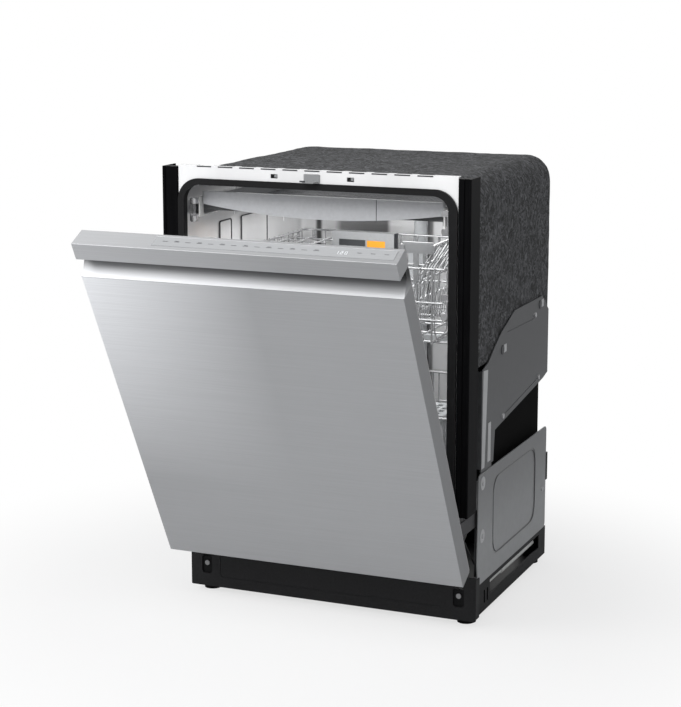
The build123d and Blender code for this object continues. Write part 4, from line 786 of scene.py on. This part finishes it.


# The brace's lip and rib are pale plates of painted highlight, where their folded edges catch the light
side_plate("brace_lip", [(121, 297), (138, 297), (152, 482), (126, 484)], lip_steel)
side_plate("brace_rib", [(154, 303), (172, 303), (172, 378), (156, 378)], lip_steel, 0.9)
for name, y, z in KEYHOLES:
    side_plate(name + "_clip", oval(y, z, 8, 9), dark_slot, 1.2)
    patch = [(y + 9, z - 7), (y + 24, z - 7), (y + 24, z + 8), (y + 9, z + 8)]
    side_plate(name + "_patch", patch, lip_steel)
for name, z in BOSS_HEIGHTS:
    side_plate(name, oval(BOSS_DEPTH, z, 13, 13), lip_steel, 0.8)
rear_clips = [block((sign * REAR_CLIP - 3, sign * REAR_CLIP + 1), (541.3, 550), (172, 230)) for sign in SIDES]
boxes("rear_clips", rear_clips, black_plastic, "cabinet")
# Each embossed outline is a thin raised wire, darkened as painted shade
for side, sign in (("left", -1), ("right", 1)):
    outline = [at(sign * (SHEET_FACE + 0.1), y, z) for y, z in EMBOSS]
    wires(side + "_panel_emboss", [outline], 1.0, emboss_shade, "cabinet", bend=40, closed=True)

# Thin bitumen pads on the tub's outer walls

PAD_INSIDE = 269.4
PAD_OUTSIDE = 272.4
PAD_TOP = 489.6
PAD_STEP = 192

pads = []
for sign in SIDES:
    across = on_side(sign, PAD_INSIDE, PAD_OUTSIDE)
    pads.append(block(across, (PAD_STEP, 540), (206, PAD_TOP)))
    pads.append(block(across, (40, PAD_STEP), (250, PAD_TOP)))
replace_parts(boxes("bitumen_pads", pads, pad_black, "cabinet"), "side_pads")

# Door gasket, with its wider lip against the right trim: each outline is its left, right, top and corner

GASKET_FOOT = 241
GASKET_OPENING = (-261, 266.4, 822, 31)
GASKET_LIP = (-273.4, 282.4, 834, 43)
GASKET_ROOT = (-267.6, 267.6, 827.6, 36)
LIP_FRONT = -5
LIP_REAR = -0.1
GASKET_REAR = 10


def arch(left, right, top, radius, depth, steps=12):
    """Points up one side, over the top and down the other, with round corners."""
    points = [at(left, depth, GASKET_FOOT)]
    for centre, start in ((left + radius, math.pi), (right - radius, math.pi / 2)):
        for i in range(steps + 1):
            turn = start - i * math.pi / (2 * steps)
            points.append(at(centre + radius * math.cos(turn), depth, top - radius + radius * math.sin(turn)))
    points.append(at(right, depth, GASKET_FOOT))
    return points


def gasket_mesh():
    """Six arches joined around the seal's section, and closed at its two feet."""
    section = ((GASKET_OPENING, GASKET_REAR), (GASKET_OPENING, LIP_FRONT), (GASKET_LIP, LIP_FRONT),
               (GASKET_LIP, LIP_REAR), (GASKET_ROOT, LIP_REAR), (GASKET_ROOT, GASKET_REAR))
    bm = bmesh.new()
    rows = []
    for outline, depth in section:
        corners = [bm.verts.new(point) for point in arch(*outline, depth)]
        rows.append([bm.edges.new(pair) for pair in zip(corners, corners[1:])])
    for row, following in zip(rows, rows[1:] + rows[:1]):
        bmesh.ops.bridge_loops(bm, edges=row + following)
    bmesh.ops.holes_fill(bm, edges=bm.edges, sides=0)
    bmesh.ops.recalc_face_normals(bm, faces=bm.faces)
    return written("door_gasket", bm)


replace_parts(mesh_object("door_gasket", gasket_mesh(), rubber, "cabinet"), "tub_gasket")

# Stage

# Distances from the machine, in metres
FLOOR_HALF = 8.0
CLEAR_FROM = 0.45
CLEAR_TO = 1.1

# How much of the floor near the machine shows as plain white
NEAR_SHARE = 0.7


def floor_paint():
    """Pale paint that takes the machine's shadow close by, and looks plain white further away."""
    m = bpy.data.materials.new("pale floor")
    m.use_nodes = True
    shader_of(m).inputs["Base Color"].default_value = (0.9, 0.9, 0.9, 1)
    shader_of(m).inputs["Roughness"].default_value = 0.9
    plain = add_node(m, "Emission", {"Color": WHITE, "Strength": 1.0})
    add_node(m, "TexCoord")
    away = add_node(m, "VectorMath", operation="LENGTH")
    link(m, place_on(m), away.inputs[0])
    fade = add_node(m, "MapRange", {"From Min": CLEAR_FROM, "From Max": CLEAR_TO, "To Min": NEAR_SHARE},
                    interpolation_type="SMOOTHSTEP")
    link(m, away.outputs["Value"], fade.inputs["Value"])
    rays = add_node(m, "LightPath")
    blend = add_node(m, "MixShader")
    share = calculate(m, "MULTIPLY", rays.outputs["Is Camera Ray"], fade.outputs["Result"])
    link(m, share, blend.inputs["Fac"])
    link(m, shader_of(m).outputs["BSDF"], blend.inputs[1])
    link(m, plain.outputs["Emission"], blend.inputs[2])
    link(m, blend.outputs["Shader"], m.node_tree.nodes["Material Output"].inputs["Surface"])
    return m


bm = bmesh.new()
bmesh.ops.create_grid(bm, x_segments=1, y_segments=1, size=FLOOR_HALF)
floor_mesh = written("floor", bm)
floor_mesh.materials.append(floor_paint())
floor = bpy.data.objects.new("floor", floor_mesh)
bpy.context.scene.collection.objects.link(floor)


def studio_world():
    """Soft grey light all round, seen as plain white directly, in gloss and through glass."""
    world = bpy.data.worlds.new("studio")
    world.use_nodes = True
    lighting = world.node_tree.nodes["Background"]
    lighting.inputs["Color"].default_value = (0.75, 0.76, 0.78, 1)
    lighting.inputs["Strength"].default_value = 0.5
    plain = add_node(world, "Background", {"Color": WHITE, "Strength": 1.0})
    rays = add_node(world, "LightPath")
    seen = calculate(world, "MAXIMUM", rays.outputs["Is Camera Ray"], rays.outputs["Is Glossy Ray"])
    seen = calculate(world, "MAXIMUM", seen, rays.outputs["Is Transmission Ray"])
    pick = add_node(world, "MixShader")
    link(world, seen, pick.inputs["Fac"])
    link(world, lighting.outputs["Background"], pick.inputs[1])
    link(world, plain.outputs["Background"], pick.inputs[2])
    link(world, pick.outputs["Shader"], world.node_tree.nodes["World Output"].inputs["Surface"])
    return world


bpy.context.scene.world = studio_world()

# Lamps: each place and what it points at, with its size in metres and its power in watts


def area_light(name, place, target, size, power):
    lamp = bpy.data.lights.new(name, "AREA")
    lamp.shape = "RECTANGLE"
    lamp.size, lamp.size_y = size
    lamp.energy = power
    holder = bpy.data.objects.new(name, lamp)
    bpy.context.scene.collection.objects.link(holder)
    holder.location = place
    aim = Vector(target) - Vector(place)
    holder.rotation_euler = aim.to_track_quat("-Z", "Y").to_euler()


area_light("key", (-1.8, -2.6, 2.6), (0, 0, 0.5), (1.8, 1.8), 64)
area_light("fill", (2.6, -1.6, 1.6), (0, 0, 0.4), (1.6, 1.6), 3)
area_light("front_top", (0.1, -1.0, 1.7), (0, 0.15, 0.6), (0.8, 0.5), 9)
area_light("tub_top", at(0, 270, 819), at(0, 270, 400), (0.42, 0.36), 1.3)
area_light("tub_middle", at(0, 250, 745), at(0, 270, 300), (0.4, 0.34), 2.0)

# Camera: its focal length is given in pixels of the photograph, which is 707 of them tall

CAMERA_PLACE = at(1385.67, -3140.89, 1214.57)
CAMERA_DOWN = math.radians(10.398)
CAMERA_TURN = math.radians(22.938)
FOCAL_PIXELS = 1891.75
PHOTO_HEIGHT = 707
SENSOR = 36

camera_data = bpy.data.cameras.new("camera")
camera = bpy.data.objects.new("camera", camera_data)
bpy.context.scene.collection.objects.link(camera)
camera.location = CAMERA_PLACE
camera.rotation_euler = (math.pi / 2 - CAMERA_DOWN, 0, CAMERA_TURN)
camera_data.sensor_width = SENSOR
camera_data.lens = FOCAL_PIXELS / PHOTO_HEIGHT * SENSOR
camera_data.shift_y = -0.05
bpy.context.scene.camera = camera
bpy.context.scene.view_settings.view_transform = "Standard"
